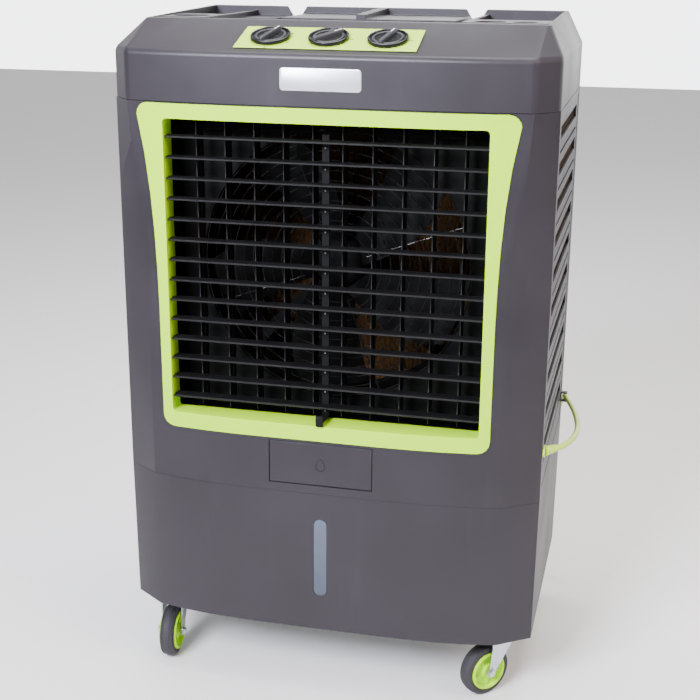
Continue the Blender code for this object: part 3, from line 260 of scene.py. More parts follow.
def add_piece(name, mesh, material, body, slot, *nodes):
    """Links a finished mesh as a piece that rides on a body and may stand for CAD nodes."""
    obj = bpy.data.objects.new(name, mesh)
    mesh.materials.clear()
    mesh.materials.append(material)
    bpy.context.scene.collection.objects.link(obj)
    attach(obj, body)
    if nodes:
        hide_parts(*nodes)
    return obj


def join_rings(bm, low, high):
    """Faces between two rings with the same number of points."""
    for k in range(len(low)):
        m = (k + 1) % len(low)
        bm.faces.new((low[k], low[m], high[m], high[k]))


def swept_tube(points, radius, sides=12):
    """A closed tube along points, with a frame carried along it without twist."""
    bm = bmesh.new()
    tangents = []
    for i, point in enumerate(points):
        ahead = points[min(i + 1, len(points) - 1)]
        behind = points[max(i - 1, 0)]
        tangents.append((ahead - behind).normalized())
    side = tangents[0].orthogonal().normalized()
    rows = []
    for point, tangent in zip(points, tangents):
        side = (side - tangent * side.dot(tangent)).normalized()
        other = tangent.cross(side)
        rows.append(
            [
                bm.verts.new(point + (side * math.cos(a) + other * math.sin(a)) * radius)
                for a in (math.tau * k / sides for k in range(sides))
            ]
        )
    for low, high in zip(rows, rows[1:]):
        join_rings(bm, low, high)
    bm.faces.new(rows[0][::-1])
    bm.faces.new(rows[-1])
    bmesh.ops.recalc_face_normals(bm, faces=bm.faces)
    return bm


def to_mesh(bm, name, smooth_angle=35):
    mesh = bpy.data.meshes.new(name)
    bm.to_mesh(mesh)
    bm.free()
    mesh.shade_smooth()
    mesh.set_sharp_from_angle(angle=math.radians(smooth_angle))
    return mesh


def add_solid(name, bm, material, body, slot, *nodes):
    """A piece made from a bmesh."""
    return add_piece(name, to_mesh(bm, name), material, body, slot, *nodes)


lead_line = smooth_path(
    [
        BOOT_END + BOOT_LEAN * 0.0008, BOOT_END + BOOT_LEAN * 0.010, *CORD_ROUTE, *coil_points(),
        (0.1180, 0.3262, 0.0123), (0.0990, 0.3268, 0.0117),
        (PLUG_BOOT_END.x, PLUG_BOOT_END.y, PLUG_BOOT_END.z),
    ],
    0.006,
)
lead = add_solid("mains_lead", swept_tube(lead_line, CORD_DIAMETER / 2), cord_pvc, "cooler", "cord",
    "mains_cord", "cord_coil",
)
plug = frame["nodes"]["mains_plug"]
plug.data.materials.clear()
plug.data.materials.append(rubber_black)

# A hook-and-loop tie holds the coil's turns together on its left side.
TIE_ANGLE = math.radians(200)
TIE_POINTS = 20
TIE_HALF_WIDTH = 0.008
tie = bmesh.new()
tie_rows = []
for step in range(TIE_POINTS):
    around = math.tau * step / TIE_POINTS
    squareness = 0.0105 / max(abs(math.cos(around)), abs(math.sin(around)), 0.75)
    reach = 0.0440 + squareness * math.cos(around)
    lift = 0.0084 + min(squareness * math.sin(around), 0.0095) if math.sin(around) > 0 else max(
        0.0004, 0.0084 + squareness * math.sin(around) * 0.76)
    tie_rows.append((reach, lift))
for offset in (-TIE_HALF_WIDTH, TIE_HALF_WIDTH):
    for reach, lift in tie_rows:
        along = Vector((-math.sin(TIE_ANGLE), math.cos(TIE_ANGLE), 0)) * offset
        outward = Vector((math.cos(TIE_ANGLE), math.sin(TIE_ANGLE), 0)) * reach
        tie.verts.new(COIL_CENTRE + outward + along + Vector((0, 0, lift)))
tie.verts.ensure_lookup_table()
join_rings(tie, tie.verts[:TIE_POINTS], tie.verts[TIE_POINTS:])
bmesh.ops.recalc_face_normals(tie, faces=tie.faces)
bmesh.ops.solidify(tie, geom=tie.faces, thickness=0.0007)
bmesh.ops.recalc_face_normals(tie, faces=tie.faces)
add_solid("lead_tie", tie, rubber_black, "cooler", "black")


# ==== Water tank ====
# The tank is the cooler's base, an open box injection moulded in dark grey polypropylene.
# Its corners have the same long chamfers as the body over it.

def vary_gloss(tree, shader, pattern, least, most):
    """The roughness wanders between two values."""
    spread = add_node(
        tree, "ShaderNodeMapRange", {0: pattern.outputs["Fac"], 1: 0.3, 2: 0.7, 3: least, 4: most}
    )
    tree.links.new(spread.outputs[0], shader.inputs["Roughness"])


polypropylene, tree, shader = new_material("moulded_polypropylene_grey", IOR=1.42)
# Moulded in a spark-eroded cavity: an even satin grain, faint flow marks, and dulled high spots.
spot = add_node(tree, "ShaderNodeTexCoord")
place = spot.outputs["Object"]
flow = add_node(
    tree, "ShaderNodeTexNoise", {"Vector": place, "Scale": 7.0, "Detail": 3.0, "Roughness": 0.55}
)
streaks = add_node(tree, "ShaderNodeMapping", {"Vector": place, "Scale": (30.0, 30.0, 4.0)})
scuffs = add_node(
    tree, "ShaderNodeTexNoise", {"Vector": streaks.outputs["Vector"], "Scale": 1.0, "Detail": 5.0}
)
grain = add_node(tree, "ShaderNodeTexNoise", {"Vector": place, "Scale": 750.0, "Detail": 2.0})
tone = add_node(tree, "ShaderNodeValToRGB", {"Fac": flow.outputs["Fac"]})
tone.color_ramp.elements[0].position = 0.35
tone.color_ramp.elements[0].color = linear("#201d22")
tone.color_ramp.elements[1].position = 0.70
tone.color_ramp.elements[1].color = linear("#272329")
wear = add_node(tree, "ShaderNodeMapRange", {0: scuffs.outputs["Fac"], 1: 0.62, 2: 0.80, 3: 0.0, 4: 0.22})
worn = add_node(
    tree, "ShaderNodeMix", {0: wear.outputs[0], 6: tone.outputs["Color"], 7: linear("#3b373e")},
    data_type="RGBA"
)
tree.links.new(worn.outputs[2], shader.inputs["Base Color"])
vary_gloss(tree, shader, flow, 0.40, 0.50)
add_grain(tree, shader, grain, 0.35, 0.0002)


def evaluated_copy(mesh, setup):
    """The mesh that modifiers, added by setup, make of this one."""
    carrier = bpy.data.objects.new("carrier", mesh)
    bpy.context.scene.collection.objects.link(carrier)
    setup(carrier)
    bpy.context.view_layer.update()
    made = bpy.data.meshes.new_from_object(carrier.evaluated_get(bpy.context.evaluated_depsgraph_get()))
    bpy.data.objects.remove(carrier)
    return made


def weighted_normals(carrier):
    modifier = carrier.modifiers.new("even", "WEIGHTED_NORMAL")
    modifier.keep_sharp = True
    modifier.weight = 100


def moulded_shell(node, material, width, slot, least_edge=0.006, segments=3, soft=None):
    """A CAD node's own shape, its triangles joined into faces and its longer edges rounded.

    soft(edge) may give an edge its own share of the width, from 0 to 1."""
    bm = bmesh.new()
    bm.from_mesh(frame["nodes"][node].data)
    bmesh.ops.remove_doubles(bm, verts=bm.verts, dist=2e-5)
    bmesh.ops.dissolve_limit(bm, angle_limit=math.radians(0.6), verts=bm.verts, edges=bm.edges)
    weights = bm.edges.layers.float.new("bevel_weight_edge")
    for edge in bm.edges:
        if len(edge.link_faces) == 2 and edge.calc_face_angle(0.0) > math.radians(20):
            share = soft(edge) if soft else None
            if share is not None:
                edge[weights] = share
            elif edge.calc_length() > least_edge and edge.calc_face_angle(0.0) > math.radians(30):
                edge[weights] = 0.15 if soft else 1.0
    mesh = bpy.data.meshes.new(node)
    bm.to_mesh(mesh)
    bm.free()

    def rounded(carrier):
        bevel = carrier.modifiers.new("rounded", "BEVEL")
        bevel.limit_method = "WEIGHT"
        bevel.width = width
        bevel.segments = segments
        bevel.use_clamp_overlap = soft is None

    finished = evaluated_copy(mesh, rounded)
    finished.shade_smooth()
    finished.set_sharp_from_angle(angle=math.radians(35))
    finished = evaluated_copy(finished, weighted_normals)
    finished.name = node
    return add_piece("shell_" + node, finished, material, BODY_OF[node], slot, node)


moulded_shell("water_tank", polypropylene, 0.0022, "charcoal", 0.020)


def turned(profile, steps, axis_matrix, closed=False):
    """A solid of revolution about local Z from (radius, height) points."""
    bm = bmesh.new()
    rows = []
    for i in range(steps):
        angle = math.tau * i / steps
        rows.append([bm.verts.new((r * math.cos(angle), r * math.sin(angle), h)) for r, h in profile])
    last = len(profile) if closed else len(profile) - 1
    for i in range(steps):
        a, b = rows[i], rows[(i + 1) % steps]
        for j in range(last):
            k = (j + 1) % len(profile)
            bm.faces.new((a[j], b[j], b[k], a[k]))
    if not closed:
        bmesh.ops.remove_doubles(bm, verts=bm.verts, dist=1e-6)
        bmesh.ops.holes_fill(bm, edges=bm.edges)
    bmesh.ops.recalc_face_normals(bm, faces=bm.faces)
    bmesh.ops.transform(bm, matrix=axis_matrix, verts=bm.verts)
    return bm


def merge(*parts):
    """Several bmeshes as one."""
    whole_bm = parts[0]
    for part in parts[1:]:
        scratch = bpy.data.meshes.new("scratch")
        part.to_mesh(scratch)
        part.free()
        whole_bm.from_mesh(scratch)
        bpy.data.meshes.remove(scratch)
    return whole_bm


def block(matrix):
    """A unit cube put in place."""
    bm = bmesh.new()
    bmesh.ops.create_cube(bm, size=1.0, matrix=matrix)
    return bm


# The drain plug is a ribbed screw cap low on the tank's back.
CAP_AT = Vector((0.0, 0.1935, 0.128))
cap_parts = [
    turned(
        [
            (0.0, 0.0), (0.0185, 0.0), (0.0185, 0.0015), (0.0160, 0.0025), (0.0160, 0.0090),
            (0.0150, 0.0102), (0.0, 0.0102),
        ],
        40,
        Matrix.Translation(CAP_AT) @ Matrix.Rotation(-math.pi / 2, 4, "X"),
    )
]
for i in range(20):
    angle = math.tau * i / 20
    spin = Matrix.Translation(CAP_AT) @ Matrix.Rotation(angle, 4, "Y")
    rib = Matrix.Translation((0, 0.0055, 0.0160)) @ Matrix.Diagonal((0.0016, 0.0068, 0.0014, 1))
    cap_parts.append(block(spin @ rib))
add_solid("drain_cap", merge(*cap_parts), rubber_black, "cooler", "black")


# ==== Level window ====
# A slot-shaped window of translucent polypropylene, pressed into the tank's front.

translucent_window, tree, shader = new_material("translucent_polypropylene", IOR=1.49, Roughness=0.32)
# Natural polypropylene over water: milky blue-grey, a little lighter towards the top.
shader.inputs["Subsurface Weight"].default_value = 0.15
shader.inputs["Subsurface Radius"].default_value = (0.004, 0.005, 0.006)
spot = add_node(tree, "ShaderNodeTexCoord")
height = add_node(tree, "ShaderNodeSeparateXYZ", {"Vector": spot.outputs["Object"]})
fade = add_node(tree, "ShaderNodeMapRange", {0: height.outputs["Z"], 1: 0.15, 2: 0.27, 3: 0.0, 4: 1.0})
mist = noise(tree, 45.0, 2.0)
blend = add_node(
    tree, "ShaderNodeMix", {0: fade.outputs[0], 6: linear("#39414e"), 7: linear("#4b5564")},
    data_type="RGBA"
)
misty = add_node(
    tree, "ShaderNodeMix", {0: 0.25, 6: blend.outputs[2], 7: mist.outputs["Color"]}, data_type="RGBA",
    blend_type="SOFT_LIGHT",
)
tree.links.new(misty.outputs[2], shader.inputs["Base Color"])
moulded_shell("level_window", translucent_window, 0.0006, "window", 0.001)


# ==== Main housing ====
# One large moulding on the tank: the bowed front with its openings, and the side and back posts.

moulded_shell("main_housing", polypropylene, 0.0013, "charcoal", 0.009)


# ==== Evaporative pads ====
# Rigid cellulose pads, corrugated sheets glued with their flutes crossed. Air crosses them, and
# the water that runs down them dries.

def math_node(tree, operation, a, b=None):
    inputs = {0: a}
    if b is not None:
        inputs[1] = b
    return add_node(tree, "ShaderNodeMath", inputs, operation=operation).outputs[0]


pad_cellulose, tree, shader = new_material("corrugated_cellulose", Roughness=0.9)
# Resin-stiffened brown paper: matt, uneven, paler on the flute crests and mineral-stained.
spot = add_node(tree, "ShaderNodeTexCoord")
stain = noise(tree, 22.0, 4.0)
fibre = noise(tree, 380.0, 2.0)
paper = add_node(tree, "ShaderNodeValToRGB", {"Fac": stain.outputs["Fac"]})
paper.color_ramp.elements[0].position = 0.3
paper.color_ramp.elements[0].color = linear("#4a3015")
paper.color_ramp.elements[1].position = 0.75
paper.color_ramp.elements[1].color = linear("#775427")
# Painted shade: the outer faces of the side pads, behind the slats, are darkened to a fifth, on either side
# of the body.
across = add_node(tree, "ShaderNodeSeparateXYZ", {"Vector": spot.outputs["Object"]})
outward = math_node(tree, "ABSOLUTE", across.outputs["X"])
slot_shade = add_node(tree, "ShaderNodeMapRange", {0: outward, 1: 0.225, 2: 0.245, 3: 1.0, 4: 0.2})
shaded_paper = add_node(tree, "ShaderNodeVectorMath", {0: paper.outputs["Color"]}, operation="SCALE")
tree.links.new(slot_shade.outputs[0], shaded_paper.inputs["Scale"])
tree.links.new(shaded_paper.outputs[0], shader.inputs["Base Color"])
add_grain(tree, shader, fibre, 0.4, 0.0004)

FLUTE_PITCH = 0.0076
FLUTE_DEPTH = 0.0050
FLUTE_PERIOD = 0.016
FLUTE_SWING = 0.0038


def node_group(name, sizes):
    """An empty Geometry Nodes group with a material input and named sizes. Returns it and its input node."""
    group = bpy.data.node_groups.new(name, "GeometryNodeTree")
    group.interface.new_socket("Geometry", in_out="OUTPUT", socket_type="NodeSocketGeometry")
    for label, value in sizes.items():
        kind = "NodeSocketInt" if isinstance(value, int) else "NodeSocketFloat"
        if isinstance(value, tuple):
            kind = "NodeSocketVector"
        socket = group.interface.new_socket(label, in_out="INPUT", socket_type=kind)
        socket.default_value = value
    group.interface.new_socket("Material", in_out="INPUT", socket_type="NodeSocketMaterial")
    return group, group.nodes.new("NodeGroupInput")


def finish_group(group, source, geometry):
    """Ends a group with Realize Instances and Set Material."""
    real = add_node(group, "GeometryNodeRealizeInstances", {"Geometry": geometry})
    painted = add_node(
        group, "GeometryNodeSetMaterial",
        {"Geometry": real.outputs[0], "Material": source.outputs["Material"]}
    )
    out = group.nodes.new("NodeGroupOutput")
    group.links.new(painted.outputs[0], out.inputs["Geometry"])


def grown(group, material, sizes, name):
    """The plain mesh that a group makes with these sizes."""
    carrier = bpy.data.objects.new("carrier_" + name, bpy.data.meshes.new("carrier"))
    bpy.context.scene.collection.objects.link(carrier)
    modifier = carrier.modifiers.new("grow", "NODES")
    modifier.node_group = group
    for item in group.interface.items_tree:
        if item.item_type == "SOCKET" and item.in_out == "INPUT":
            if item.name == "Material":
                modifier[item.identifier] = material
            elif item.name in sizes:
                modifier[item.identifier] = sizes[item.name]
    bpy.context.view_layer.update()
    evaluated = carrier.evaluated_get(bpy.context.evaluated_depsgraph_get())
    mesh = bpy.data.meshes.new_from_object(evaluated)
    mesh.name = name
    bpy.data.objects.remove(carrier)
    return mesh


# The flute rule: a closed slab whose two faces are waved in columns that lean left and right in turn.
flutes, given = node_group(
    "flute_sheet",
    {"Width": 0.3, "Height": 0.5, "Columns": 100, "Rows": 60, "Depth": FLUTE_DEPTH, "Pitch": FLUTE_PITCH},
)
grid = add_node(
    flutes,
    "GeometryNodeMeshGrid",
    {
        "Size X": given.outputs["Width"], "Size Y": given.outputs["Height"],
        "Vertices X": given.outputs["Columns"], "Vertices Y": given.outputs["Rows"],
    },
)
where = add_node(flutes, "GeometryNodeInputPosition")
parts = add_node(flutes, "ShaderNodeSeparateXYZ", {0: where.outputs[0]})
swing = add_node(
    flutes, "ShaderNodeMath", {0: parts.outputs["Y"], 1: FLUTE_PERIOD, 2: 0.0}, operation="PINGPONG"
).outputs[0]
leaned = math_node(
    flutes, "ADD", parts.outputs["X"], math_node(flutes, "MULTIPLY", swing, FLUTE_SWING / FLUTE_PERIOD * 2)
)
phase = math_node(flutes, "DIVIDE", math_node(flutes, "MULTIPLY", leaned, math.pi), given.outputs["Pitch"])
wave = math_node(flutes, "ABSOLUTE", math_node(flutes, "SINE", phase))
sunk = math_node(flutes, "MULTIPLY", math_node(flutes, "SUBTRACT", wave, 1.0), given.outputs["Depth"])
lift = add_node(flutes, "ShaderNodeCombineXYZ", {"Z": sunk})
waved = add_node(
    flutes, "GeometryNodeSetPosition", {"Geometry": grid.outputs["Mesh"], "Offset": lift.outputs[0]}
)
finish_group(flutes, given, waved.outputs[0])

PAD_FACES = {  # the turn that faces each pad outwards
    "left_cooling_pad": math.radians(-90),
    "right_cooling_pad": math.radians(90),
    "rear_cooling_pad": math.radians(180),
}
for node, turn in PAD_FACES.items():
    low, high = (Vector(corner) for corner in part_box(node))
    middle, size = (low + high) / 2, high - low
    across = size.y if "rear" not in node else size.x
    thick = size.x if "rear" not in node else size.y
    sheet_mesh = grown(
        flutes,
        pad_cellulose,
        {
            "Width": across - 0.002, "Height": size.z - 0.002, "Columns": round(across / 0.0019),
            "Rows": round(size.z / 0.004),
        },
        node + "_face",
    )
    slab = block(Matrix.Diagonal((across, size.z, thick - 2 * FLUTE_DEPTH - 0.001, 1)))
    for side in (1, -1):
        face = bmesh.new()
        face.from_mesh(sheet_mesh)
        skirt = [e for e in face.edges if e.is_boundary]
        drop = bmesh.ops.extrude_edge_only(face, edges=skirt)
        for vert in (v for v in drop["geom"] if isinstance(v, bmesh.types.BMVert)):
            vert.co.z = -FLUTE_DEPTH - 0.0006
        bmesh.ops.holes_fill(face, edges=[e for e in face.edges if e.is_boundary])
        flip = Matrix.Rotation(0 if side == 1 else math.pi, 4, "Y")
        bmesh.ops.transform(
            face, matrix=flip @ Matrix.Translation((0, 0, thick / 2 - 0.0001)), verts=face.verts
        )
        bmesh.ops.recalc_face_normals(face, faces=face.faces)
        slab = merge(slab, face)
    stand = Matrix.Translation(middle) @ Matrix.Rotation(turn, 4, "Z") @ Matrix.Rotation(
        math.pi / 2, 4, "X"
    )
    bmesh.ops.transform(slab, matrix=stand, verts=slab.verts)
    mesh = to_mesh(slab, node + "_block", 60)
    add_piece(node + "_block", mesh, pad_cellulose, "cooler", "pad", node)


# ==== Pad frames ====
# Louvred covers, moulded in the housing's grey, that hold the pads in the sides and the back.

for node in ("left_pad_frame", "right_pad_frame", "rear_pad_frame"):
    moulded_shell(node, polypropylene, 0.0007, "charcoal", 0.012, segments=2)

# Slats cross each slot row of a pad frame, tilted so that rain and splashes stay out.
slat_rows, given = node_group(
    "slat_rows",
    {
        "Length": 0.29, "Depth": 0.014, "Thickness": 0.0018, "Rows": 13, "Pitch": 0.0373, "Tilt": 0.6,
        "Start": (0.0, 0.0, 0.0), "Turn": 0.0,
    },
)
rise = add_node(slat_rows, "ShaderNodeCombineXYZ", {"Z": given.outputs["Pitch"]})
line = add_node(
    slat_rows, "GeometryNodeMeshLine",
    {"Count": given.outputs["Rows"], "Start Location": given.outputs["Start"], "Offset": rise.outputs[0]},
)
slat_size = add_node(
    slat_rows, "ShaderNodeCombineXYZ",
    {"X": given.outputs["Length"], "Y": given.outputs["Depth"], "Z": given.outputs["Thickness"]},
)
slat = add_node(slat_rows, "GeometryNodeMeshCube", {"Size": slat_size.outputs[0]})
tilt = add_node(slat_rows, "ShaderNodeCombineXYZ", {"X": given.outputs["Tilt"], "Z": given.outputs["Turn"]})
slats = add_node(
    slat_rows, "GeometryNodeInstanceOnPoints",
    {"Points": line.outputs[0], "Instance": slat.outputs["Mesh"], "Rotation": tilt.outputs[0]},
)
finish_group(slat_rows, given, slats.outputs[0])

SLOT_ROWS = 10
SLOT_PITCH = 0.0468
SLOT_FIRST = 0.3813
for node, turn, side in (
    ("right_pad_frame", 90, 1), ("left_pad_frame", -90, -1), ("rear_pad_frame", 180, 0)
):
    low, high = (Vector(corner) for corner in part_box(node))
    middle = (low + high) / 2
    length = (high.y - low.y if side else high.x - low.x) - 0.012
    if side:
        start = (high.x - 0.0062 if side > 0 else low.x + 0.0062, middle.y, SLOT_FIRST)
    else:
        start = (middle.x, high.y - 0.0062, SLOT_FIRST)
    slat_mesh = grown(
        slat_rows,
        polypropylene,
        {
            "Length": length, "Depth": 0.0190, "Thickness": 0.0016, "Rows": SLOT_ROWS, "Pitch": SLOT_PITCH,
            "Tilt": math.radians(-66), "Start": start, "Turn": math.radians(turn),
        },
        node + "_slats",
    )
    slat_mesh.set_sharp_from_angle(angle=math.radians(30))
    add_piece(node + "_slats", slat_mesh, polypropylene, "cooler", "charcoal")


# ==== Fan shroud, motor and fan ====
# A black bulkhead behind the outlet with a ring round the fan and four arms to the motor. Five swept blades
# on one hub are moulded in glass-filled polypropylene. Bulkhead and fan are coloured a near-black painted
# shade.

black_polypropylene, tree, shader = new_material("moulded_polypropylene_black", IOR=1.38)
# Black moulding, a little dusty: near-black with a soft grey sheen on its rounded edges.
dust = noise(tree, 30.0, 4.0)
grain = noise(tree, 900.0, 2.0)
mottle(tree, shader, dust, "#060607", "#0c0c0d")
vary_gloss(tree, shader, dust, 0.46, 0.60)
add_grain(tree, shader, grain, 0.25, 0.0002)

painted_shade_polypropylene, tree, shader = new_material("painted_shade_black_polypropylene", IOR=1.3, Roughness=0.75)
# Painted shade: the bulkhead, fan and links are coloured near-black, darker than the louvres before them,
# for the shade inside the housing. Glass-filled and dull.
cloud = noise(tree, 60.0, 4.0)
mottle(tree, shader, cloud, "#020202", "#060606")

# The bulkhead takes the near-black painted shade.
moulded_shell("fan_shroud", painted_shade_polypropylene, 0.0008, "black", 0.012, segments=2)

motor_paint, tree, shader = new_material(
    "stoved_enamel_dark", Roughness=0.36, Metallic=0.0, Base_Color=linear("#1d1e20")
)
# Baked enamel on pressed steel: dark grey, smooth, with a slight orange peel.
peel = noise(tree, 260.0, 1.0)
add_grain(tree, shader, peel, 0.2, 0.0003)
moulded_shell("fan_motor", motor_paint, 0.0025, "motor", 0.004)

FAN_CENTRE = Vector((0, -0.078, 0.610))
FAN_TIP = 0.1800
FAN_ROOT = 0.0350
FAN_BLADES = 5
FAN_TURN = 38
BLADE_STATIONS = 9
CHORD_POINTS = 9


def fan_blade(spin):
    """One blade: chord, twist, camber and sweep change from hub to tip."""
    bm = bmesh.new()
    rows = []
    for i in range(BLADE_STATIONS):
        share = i / (BLADE_STATIONS - 1)
        radius = FAN_ROOT + (FAN_TIP - FAN_ROOT) * share
        chord = 0.058 + 0.050 * math.sin(share * 1.9)
        pitch = math.radians(38 - 17 * share)
        sweep = 0.24 * share * share
        row = []
        for k in range(CHORD_POINTS):
            across = k / (CHORD_POINTS - 1) - 0.5
            camber = 0.055 * chord * (1 - (2 * across) ** 2)
            along = across * chord * (1 - 0.06 * share * (2 * across) ** 2)
            y = along * math.sin(pitch) - camber * math.cos(pitch)
            side = along * math.cos(pitch) + camber * math.sin(pitch)
            angle = side / radius + sweep
            row.append(bm.verts.new((radius * math.cos(angle), y, radius * math.sin(angle))))
        rows.append(row)
    for low, high in zip(rows, rows[1:]):
        for k in range(CHORD_POINTS - 1):
            bm.faces.new((low[k], low[k + 1], high[k + 1], high[k]))
    bmesh.ops.recalc_face_normals(bm, faces=bm.faces)
    bmesh.ops.solidify(bm, geom=bm.faces, thickness=0.0024)
    bmesh.ops.recalc_face_normals(bm, faces=bm.faces)
    bmesh.ops.transform(bm, matrix=Matrix.Translation(FAN_CENTRE) @ spin, verts=bm.verts)
    return bm


hub_axis = Matrix.Translation(FAN_CENTRE) @ Matrix.Rotation(math.pi / 2, 4, "X")
fan_parts = [
    turned(
        [
            (0.0, 0.0235), (0.010, 0.0228), (0.022, 0.0200), (0.031, 0.0150), (0.0362, 0.0080),
            (0.0380, 0.0),
            (0.0380, -0.0210), (0.0355, -0.0210), (0.0340, -0.0010), (0.0, -0.0010),
        ],
        48,
        hub_axis,
    )
]
fan_parts += [
    fan_blade(Matrix.Rotation(math.tau * i / FAN_BLADES - math.radians(FAN_TURN), 4, "Y"))
    for i in range(FAN_BLADES)
]
# The fan blades take the near-black painted shade.
add_piece(
    "fan_blades", to_mesh(merge(*fan_parts), "fan_blades", 40), painted_shade_polypropylene, "fan", "fan",
    "fan_rotor",
)

# A wire guard in the fan ring: rings welded to four spokes, dipped in glossy black.
coated_wire, tree, shader = new_material("dipped_black_wire", Roughness=0.12, Base_Color=linear("#060607"))
spangle = noise(tree, 160.0, 2.0)
vary_gloss(tree, shader, spangle, 0.16, 0.5)

guard, given = node_group(
    "guard_rings",
    {"Rings": 11, "Least Radius": 0.050, "Step": 0.0135, "Wire": 0.0006, "Centre": (0.0, 0.0, 0.0)}
)
ring_points = add_node(
    guard, "GeometryNodeMeshLine", {"Count": given.outputs["Rings"], "Offset": (0.0, 0.0, 0.0)}
)
index = add_node(guard, "GeometryNodeInputIndex")
stepped = math_node(guard, "MULTIPLY", index.outputs[0], given.outputs["Step"])
ring_size = math_node(guard, "ADD", stepped, given.outputs["Least Radius"])
ring_scale = add_node(guard, "ShaderNodeCombineXYZ", {"X": ring_size, "Y": ring_size, "Z": ring_size})
circle = add_node(guard, "GeometryNodeCurvePrimitiveCircle", {"Resolution": 56, "Radius": 1.0})
rings = add_node(
    guard, "GeometryNodeInstanceOnPoints",
    {"Points": ring_points.outputs[0], "Instance": circle.outputs[0], "Scale": ring_scale.outputs[0]},
)
ring_lines = add_node(guard, "GeometryNodeRealizeInstances", {"Geometry": rings.outputs[0]})
wire = add_node(
    guard, "GeometryNodeCurvePrimitiveCircle", {"Resolution": 6, "Radius": given.outputs["Wire"]}
)
wires = add_node(
    guard, "GeometryNodeCurveToMesh", {"Curve": ring_lines.outputs[0], "Profile Curve": wire.outputs[0]}
)
stood = add_node(
    guard, "GeometryNodeTransform",
    {
        "Geometry": wires.outputs[0], "Translation": given.outputs["Centre"],
        "Rotation": (math.pi / 2, 0.0, 0.0),
    },
)
finish_group(guard, given, stood.outputs[0])
GUARD_Y = -0.1100
guard_mesh = grown(guard, coated_wire, {"Centre": (0.0, GUARD_Y, FAN_CENTRE.z)}, "fan_guard_rings")
guard_bm = bmesh.new()
guard_bm.from_mesh(guard_mesh)
for i in range(4):
    direction = Vector((math.cos(math.radians(20 + 90 * i)), 0, math.sin(math.radians(20 + 90 * i))))
    hub_point = Vector((0, GUARD_Y + 0.0016, FAN_CENTRE.z))
    guard_bm = merge(
        guard_bm, swept_tube([hub_point + direction * r for r in (0.046, 0.10, 0.15, 0.188)], 0.0011, 8)
    )
bmesh.ops.recalc_face_normals(guard_bm, faces=guard_bm.faces)
add_solid("fan_guard", guard_bm, coated_wire, "cooler", "black")


# ==== Outlet bezel ====
# A satin lime frame, moulded in ABS, that snaps into the housing's front. Its sleeve carries the
# louvre blades' pins.

lime_abs, tree, shader = new_material("moulded_abs_lime", IOR=1.24)
# ABS from a finely etched mould: bright yellow-green with a soft satin gloss, hardly any grain.
flow = noise(tree, 11.0, 3.0)
fine = noise(tree, 800.0, 1.0)
mottle(tree, shader, flow, "#a8de00", "#b3e800")
vary_gloss(tree, shader, flow, 0.34, 0.44)
add_grain(tree, shader, fine, 0.15, 0.0002)
moulded_shell("front_bezel", lime_abs, 0.0014, "lime", 0.0030, segments=3)


# ==== Louvre blades and their link ====
# Fourteen horizontal blades turn on moulded pins. A bar behind them, with a thumb tab at the sill,
# tilts them together.

for i in range(14):
    moulded_shell(f"louvre_blade_{i + 1:02d}", black_polypropylene, 0.0005, "black", 0.0015, segments=2)
# The louvre link takes the near-black painted shade.
moulded_shell("louvre_link", painted_shade_polypropylene, 0.0006, "black", 0.002, segments=2)

BLADE_TOP = 0.7870
BLADE_PITCH = 0.02752
LINK_Y = -0.1625
pin_row, given = node_group(
    "pin_row",
    {"Count": 14, "Pitch": -BLADE_PITCH, "Radius": 0.0011, "Length": 0.0026, "Start": (0.0, 0.0, 0.0)}
)
fall = add_node(pin_row, "ShaderNodeCombineXYZ", {"Z": given.outputs["Pitch"]})
line = add_node(
    pin_row, "GeometryNodeMeshLine",
    {"Count": given.outputs["Count"], "Start Location": given.outputs["Start"], "Offset": fall.outputs[0]},
)
head = add_node(
    pin_row, "GeometryNodeMeshCylinder",
    {"Vertices": 12, "Radius": given.outputs["Radius"], "Depth": given.outputs["Length"]},
)
heads = add_node(
    pin_row, "GeometryNodeInstanceOnPoints",
    {"Points": line.outputs[0], "Instance": head.outputs["Mesh"], "Rotation": (math.pi / 2, 0.0, 0.0)},
)
finish_group(pin_row, given, heads.outputs[0])
bright_pin, tree, shader = new_material(
    "bright_steel_pin", Metallic=1.0, Roughness=0.22, Base_Color=linear("#8b8e92")
)
# Headed steel pins, drawn and barrelled: small bright ends against the black.
scratch = noise(tree, 700.0, 1.0)
vary_gloss(tree, shader, scratch, 0.18, 0.32)
pin_mesh = grown(pin_row, bright_pin, {"Start": (0.0, LINK_Y - 0.0024, BLADE_TOP - 0.0085)}, "link_pins")
pin_mesh.set_sharp_from_angle(angle=math.radians(35))
add_piece("link_pins", pin_mesh, bright_pin, "louvre_link", "steel")


# ==== Swing vanes ====
# Ten upright vanes behind the blades, moulded in black, tied by a bar that the swing motor pushes.

vane_polypropylene, tree, shader = new_material("moulded_polypropylene_vane", IOR=1.49, Roughness=0.45)
# The same black moulding, with a painted highlight: each vane's front edge is coloured grey, in patches.
spot = add_node(tree, "ShaderNodeTexCoord")
split = add_node(tree, "ShaderNodeSeparateXYZ", {"Vector": spot.outputs["Object"]})
highlight_noise = noise(tree, 40.0, 3.0)
